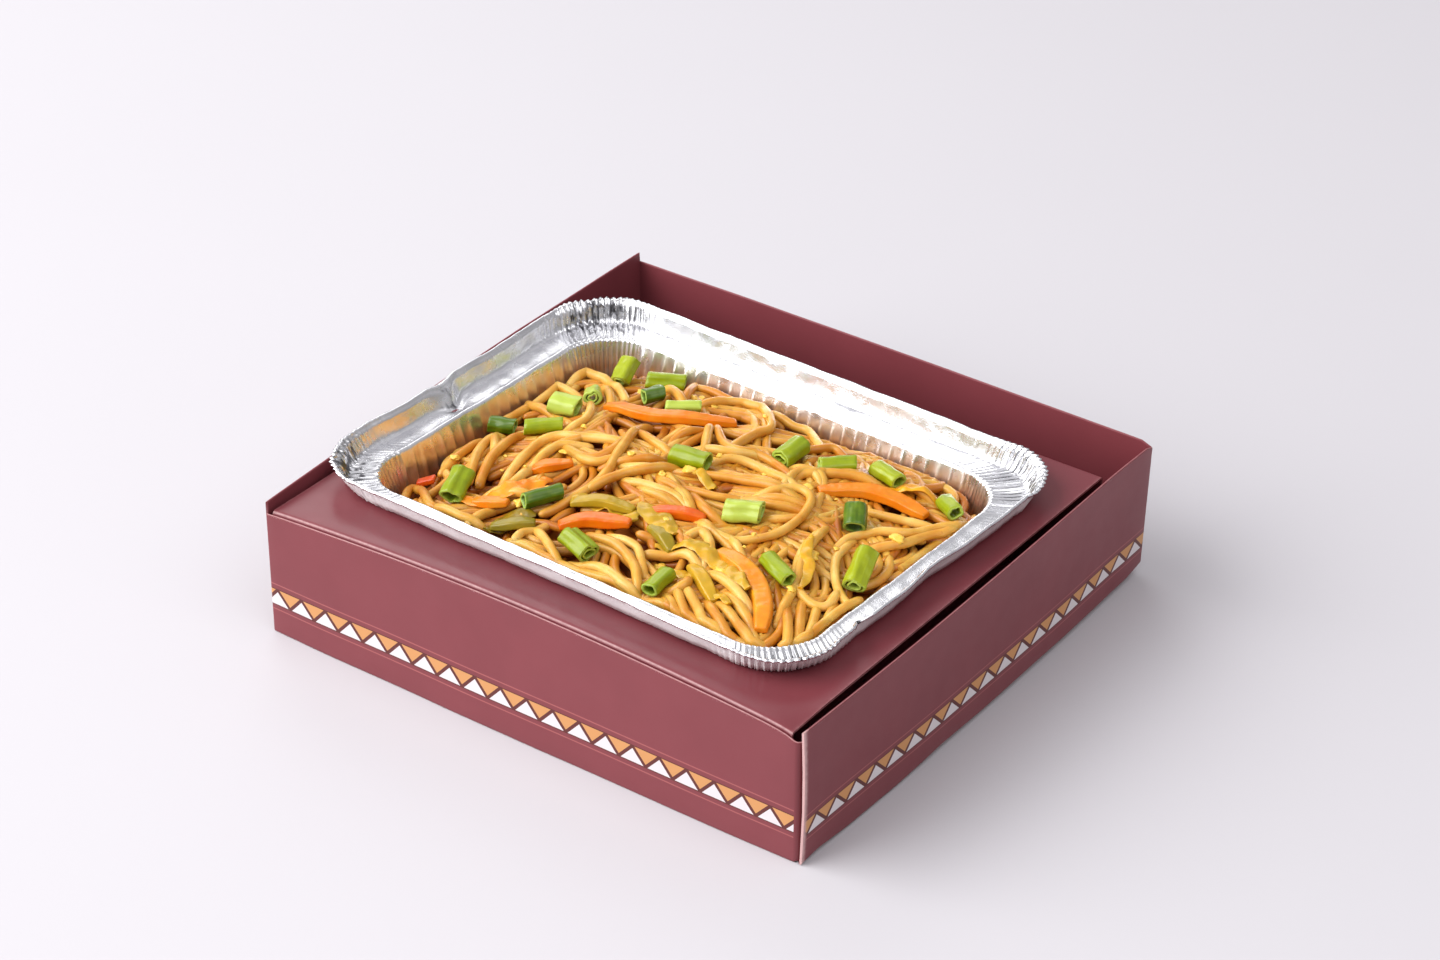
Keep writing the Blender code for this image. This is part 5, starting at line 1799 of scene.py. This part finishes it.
# %% [markdown]
# ## Strips of carrot and pepper
# The solids of the strips already follow the right curves, only in flat faces. Welding their
# points and subdividing gives soft edges, and a fine noise along them gives the drag marks of
# a knife. Each strip carries its own ripeness, from red through orange to yellow.


# %% Strip shapes
STRIP_FILL = 0.3  # what smoothing takes off the solid's faces
STRIP_EDGE = 0.6  # radians between two faces from which an edge stays crisp
STRIP_CREASE = 0.55
STRIP_LEVELS = 3
DRAG = ((1.6, 0.14), (5.0, 0.25))  # size and depth of the knife's drag marks


def strip_shape(name):
    """A strip's solid, welded and smoothed, as points and faces in millimetres."""
    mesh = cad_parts[name].data.copy()
    work = bmesh.new()
    work.from_mesh(mesh)
    bmesh.ops.remove_doubles(work, verts=work.verts, dist=0.02 * MM)
    bmesh.ops.join_triangles(
        work, faces=work.faces, angle_face_threshold=0.7, angle_shape_threshold=1.2,
        cmp_seam=False, cmp_sharp=False, cmp_uvs=False, cmp_vcols=False, cmp_materials=False,
    )
    crease = work.edges.layers.float.new("crease_edge")
    for edge in work.edges:
        if edge.is_manifold and edge.calc_face_angle() > STRIP_EDGE:
            edge[crease] = STRIP_CREASE
    work.to_mesh(mesh)
    work.free()
    item = add_object("strip", mesh)
    smooth = item.modifiers.new("smooth", "SUBSURF")
    smooth.levels = smooth.render_levels = STRIP_LEVELS
    graph = bpy.context.evaluated_depsgraph_get()
    made = bpy.data.meshes.new_from_object(item.evaluated_get(graph))
    points = [vert.co / MM + vert.normal * STRIP_FILL for vert in made.vertices]
    faces = [tuple(face.vertices) for face in made.polygons]
    bpy.data.objects.remove(item, do_unlink=True)
    return points, faces


def make_strips(name, kinds, finish):
    """Strips as one mesh. kinds gives each solid's ripeness."""
    points, faces, ripes = [], [], []
    for node, ripe in kinds.items():
        own, own_faces = strip_shape(node)
        for spot in own:
            spot.z += sum(noise.noise(spot / size) * depth for size, depth in DRAG)
        add_part(points, faces, own, own_faces)
        ripes += [ripe] * len(own)
    return add_piece(name, points, faces, finish, list(kinds), 80.0, {"ripe": ripes})


# %% Strip finish
CARROT_RIPE = {
    "carrot_01": 0.64, "carrot_02": 0.42, "carrot_03": 0.34, "carrot_04": 0.68,
    "carrot_05": 0.8, "carrot_06": 0.72, "carrot_07": 0.58, "carrot_08": 0.1,
}
PEPPER_RIPE = {"pepper_01": 0.3, "pepper_02": 0.6, "pepper_03": 0.4, "pepper_04": 0.8}


def strip_finish(name, stops):
    """Glossy vegetable flesh with streaks along it."""
    flesh = Finish(
        name,
        Subsurface_Weight=0.12,
        Subsurface_Radius=(1.0, 0.5, 0.1),
        Subsurface_Scale=0.0018,
        IOR=1.34,
        Coat_Roughness=0.12,
    )
    ripe = flesh.value("ripe") + (flesh.speckle(5.0, 3.0) - 0.5) * 0.5
    color = flesh.node("ValToRGB", {"stops": stops}, {0: ripe})
    return flesh.feed(
        Base_Color=color,
        Roughness=flesh.speckle(2.0) * 0.2 + 0.24,
        Coat_Weight=flesh.speckle(6.0) * 0.5 + 0.05,
        Normal=flesh.bump(flesh.speckle(1.2, 3.0), 0.15, 0.5),
    )


CARROT_STOPS = [
    (0.0, srgb(190, 56, 4)),
    (0.3, srgb(210, 88, 2)),
    (0.55, srgb(218, 114, 2)),
    (0.78, srgb(216, 132, 24)),
    (1.0, srgb(218, 158, 18)),
]
PEPPER_STOPS = [
    (0.0, srgb(104, 98, 16)),
    (0.4, srgb(142, 122, 20)),
    (0.7, srgb(178, 142, 26)),
    (1.0, srgb(210, 158, 34)),
]
make_strips("carrot_strips", CARROT_RIPE, strip_finish("carrot", CARROT_STOPS))
make_strips("pepper_strips", PEPPER_RIPE, strip_finish("pepper", PEPPER_STOPS))

# %% [markdown]
# ## Shreds
# Thin skins of pepper, shreds of cabbage and torn sheets of egg lie in the noodles. They are
# too thin for solids of their own. Each is a flat wavy ribbon that is draped over the strands
# along a route from the photograph, so that the noodles press through it here and there.

# %% Shreds
SHREDS = {  # route in pixels, width, and ripeness from olive to orange
    "orange_skin": (((462, 499), (484, 499), (508, 494), (530, 484), (552, 473)), 8.0, 0.9),
    "olive_skin": (((486, 527), (500, 518), (518, 512), (536, 511)), 8.0, 0.1),
    "egg_sheet": (((572, 500), (588, 497), (606, 500), (622, 508), (634, 520)), 10.0, 0.45),
    "yellow_leaf": (((640, 505), (652, 514), (664, 524), (676, 538)), 7.5, 0.4),
    "middle_shred": (((655, 545), (680, 548), (704, 556), (728, 572), (748, 596)), 6.5, 0.5),
    "low_shred": (((664, 562), (690, 572), (712, 590), (730, 612)), 5.0, 0.55),
    "right_shred": (((812, 545), (806, 560), (808, 578), (800, 596)), 4.5, 0.55),
    "under_onion": (((690, 470), (704, 482), (716, 494)), 4.5, 0.5),
    "right_skin": (((868, 486), (900, 492), (932, 500), (950, 512)), 3.0, 0.75),
}
SHRED_THICK = 0.9
SHRED_SIDES = 18
SHRED_STEP = 0.8
SHRED_RAISE = 0.3  # over what it is draped on
RAGGED, CURL, DROOP = 0.35, 1.1, 0.12  # how uneven, how wavy and how drooping it is


def drape(path, half):
    """Heights of a ribbon's middle line, over most of what lies under it."""
    side = across(path)
    under = []
    for offset in (-0.8, -0.4, 0.0, 0.4, 0.8):
        i, j = grid_index(*(path + side * offset * half).T)
        under.append(np.minimum(top_now[i, j], ceiling[i, j] - SHRED_THICK))
    under = np.array(under)
    return soften(under.mean(axis=0) * 0.2 + under.max(axis=0) * 0.8, 2) + SHRED_RAISE


def make_shreds(finish):
    """All the ribbons as one mesh."""
    points, faces, ripes = [], [], []
    for number, (route, width, ripe) in enumerate(SHREDS.values()):
        path = keep_inside(smooth_path([on_heap(pixel) for pixel in route], SHRED_STEP))
        height, side = drape(path, width / 2.0), across(path)
        first = len(points)
        for index, (spot, out) in enumerate(zip(path, side)):
            share = index / (len(path) - 1)
            half = width / 2.0 * (math.sin(math.pi * min(0.97, max(0.03, share))) ** 0.4)
            half *= 1.0 + RAGGED * noise.noise(Vector((index * 0.16, number, 0.5)))
            for step in range(SHRED_SIDES):
                angle = 2.0 * math.pi * step / SHRED_SIDES
                aside, up = math.cos(angle) * half, math.sin(angle) * SHRED_THICK / 2.0
                x, y = spot + out * aside
                wave = noise.noise(Vector((x / 3.2, y / 3.2, number))) * CURL
                z = height[index] + up + wave + 0.35 - abs(aside) * DROOP
                points.append((*to_box(x, y), z))
                ripes.append(ripe)
        faces += loft(len(path), SHRED_SIDES, first=first) + caps(len(path), SHRED_SIDES, first)
    return add_piece("shreds", points, faces, finish, [], 80.0, {"ripe": ripes})


SHRED_STOPS = [
    (0.0, srgb(96, 84, 8)),
    (0.45, srgb(188, 148, 34)),
    (0.7, srgb(220, 156, 22)),
    (1.0, srgb(230, 122, 10)),
]
make_shreds(strip_finish("shred", SHRED_STOPS))

# %% [markdown]
# ## Bits of egg
# Small soft crumbs of egg cling to the noodles. They have no solid of their own. Each is a ball
# that noise has pulled out of shape, set on the height that the strands have reached. A few
# have their place in the photograph, and the rest are scattered by a seeded draw.

# %% Crumbs of egg
EGG_SEEN = {
    "by_the_fall": ((810, 560), 2.0),
    "front_crumb": ((610, 566), 1.7),
    "on_the_wedge": ((722, 573), 2.4),
    "beside_pepper": ((760, 628), 1.8),
    "under_block": ((690, 476), 2.0),
    "by_the_hook": ((806, 488), 1.7),
    "left_crumb": ((520, 500), 1.6),
    "right_crumb": ((897, 545), 1.8),
}
EGG_SCATTERED = 30
EGG_SIZE = (0.5, 1.3)
EGG_MARGIN = 12.0


def egg_crumb(x, y, size, seed):
    """One crumb's points and faces, resting on the strands."""
    ball = bmesh.new()
    bmesh.ops.create_icosphere(ball, subdivisions=3, radius=1.0)
    i, j = grid_index(x, y)
    flat = to_box(x, y)
    points = []
    for vert in ball.verts:
        pull = 1.0 + 0.75 * noise.noise(vert.co * 1.1 + Vector((seed, 0.0, 0.0)))
        pull += 0.3 * noise.noise(vert.co * 2.7 + Vector((0.0, seed, 0.0)))
        spot = vert.co * pull * size
        z = top_now[i, j] + spot.z * 0.6 + 0.1
        points.append((flat[0] + spot.x * 1.3, flat[1] + spot.y, z))
    faces = [tuple(corner.index for corner in face.verts) for face in ball.faces]
    ball.free()
    return points, faces


def make_egg(finish):
    """All the crumbs as one mesh."""
    rng = random.Random(SEED)
    crumbs = [(*on_heap(pixel), size) for pixel, size in EGG_SEEN.values()]
    while len(crumbs) < len(EGG_SEEN) + EGG_SCATTERED:
        x, y = (rng.uniform(-1.0, 1.0) * (half - EGG_MARGIN) for half in TRAY_HALF)
        if ceiling[grid_index(x, y)] == NO_CEILING:
            crumbs.append((x, y, rng.uniform(*EGG_SIZE)))
    points, faces = [], []
    for index, (x, y, size) in enumerate(crumbs):
        add_part(points, faces, *egg_crumb(x, y, size, index * 3.7))
    return add_piece("egg_bits", points, faces, finish, [], 80.0)


# %% Egg finish
def egg_finish():
    """Soft yellow egg."""
    egg = Finish(
        "egg",
        Subsurface_Weight=0.2,
        Subsurface_Radius=(1.0, 0.6, 0.2),
        Subsurface_Scale=0.0015,
        Coat_Roughness=0.2,
    )
    color = egg.mix(egg.speckle(1.5, 3.0), srgb(226, 172, 40), srgb(236, 196, 84))
    return egg.feed(
        Base_Color=color,
        Roughness=egg.speckle(2.0) * 0.2 + 0.4,
        Coat_Weight=egg.speckle(3.0) * 0.3 + 0.1,
        Normal=egg.bump(egg.speckle(0.8, 3.0), 0.2, 0.5),
    )


make_egg(egg_finish())

# %% [markdown]
# ## Studio
# The box stands on a pale table that fills the view. A large soft light on the camera's left
# lights the front wall and leaves the right wall in shade. Two weaker ones, one behind on the
# left and one on the right, pick out the foil. The room is bright overhead and dim at the
# horizon, which fills the shadows and gives the foil light and dark to mirror.

# %% Floor
FLOOR_HALF = 3.0
TABLE, TABLE_LIGHT = srgb(191, 188, 192), srgb(194, 191, 195)


def add_floor():
    """A wide table."""
    mesh = bpy.data.meshes.new("table")
    signs = ((-1, -1), (1, -1), (1, 1), (-1, 1))
    corners = [(x * FLOOR_HALF, y * FLOOR_HALF, 0.0) for x, y in signs]
    mesh.from_pydata(corners, [], [(0, 1, 2, 3)])
    table = Finish("table", Roughness=0.7)
    color = table.mix(table.speckle(300.0), TABLE, TABLE_LIGHT)
    mesh.materials.append(table.feed(Base_Color=color))
    add_object("table", mesh)


add_floor()
print("floor:", 2.0 * FLOOR_HALF, "m wide")

# %% Lights
SOFTBOXES = {  # place, size and power, in metres and watts
    "key": ((-1.35, -1.35, 1.4), 2.5, 108.0),
    "back": ((-1.14, 0.94, 0.97), 0.95, 5.4),
    "right": ((1.1, -0.3, 1.6), 1.4, 12.0),
}
ROOM_LOW = (0.25, 0.25, 0.258, 1.0)  # the room's light at the horizon
ROOM_HIGH = (0.62, 0.61, 0.64, 1.0)  # and straight above


def add_lights():
    """Softboxes that look at the box, and the room's own light."""
    for name, (place, size, power) in SOFTBOXES.items():
        data = bpy.data.lights.new(name, "AREA")
        data.shape = "SQUARE"
        data.size = size
        data.energy = power
        light = add_object(name, data)
        light.location = place
        light.rotation_euler = (-Vector(place)).to_track_quat("-Z", "Y").to_euler()
    world = bpy.data.worlds.new("room")
    bpy.context.scene.world = world
    world.use_nodes = True
    nodes, links = world.node_tree.nodes, world.node_tree.links
    way = nodes.new("ShaderNodeTexCoord")
    split = nodes.new("ShaderNodeSeparateXYZ")
    sky = nodes.new("ShaderNodeValToRGB")
    sky.color_ramp.elements[0].color = ROOM_LOW
    sky.color_ramp.elements[1].color = ROOM_HIGH
    links.new(way.outputs["Generated"], split.inputs[0])
    links.new(split.outputs["Z"], sky.inputs[0])
    links.new(sky.outputs["Color"], nodes["Background"].inputs["Color"])


add_lights()
bpy.context.scene.view_settings.view_transform = "Standard"
print("soft lights:", len(SOFTBOXES))
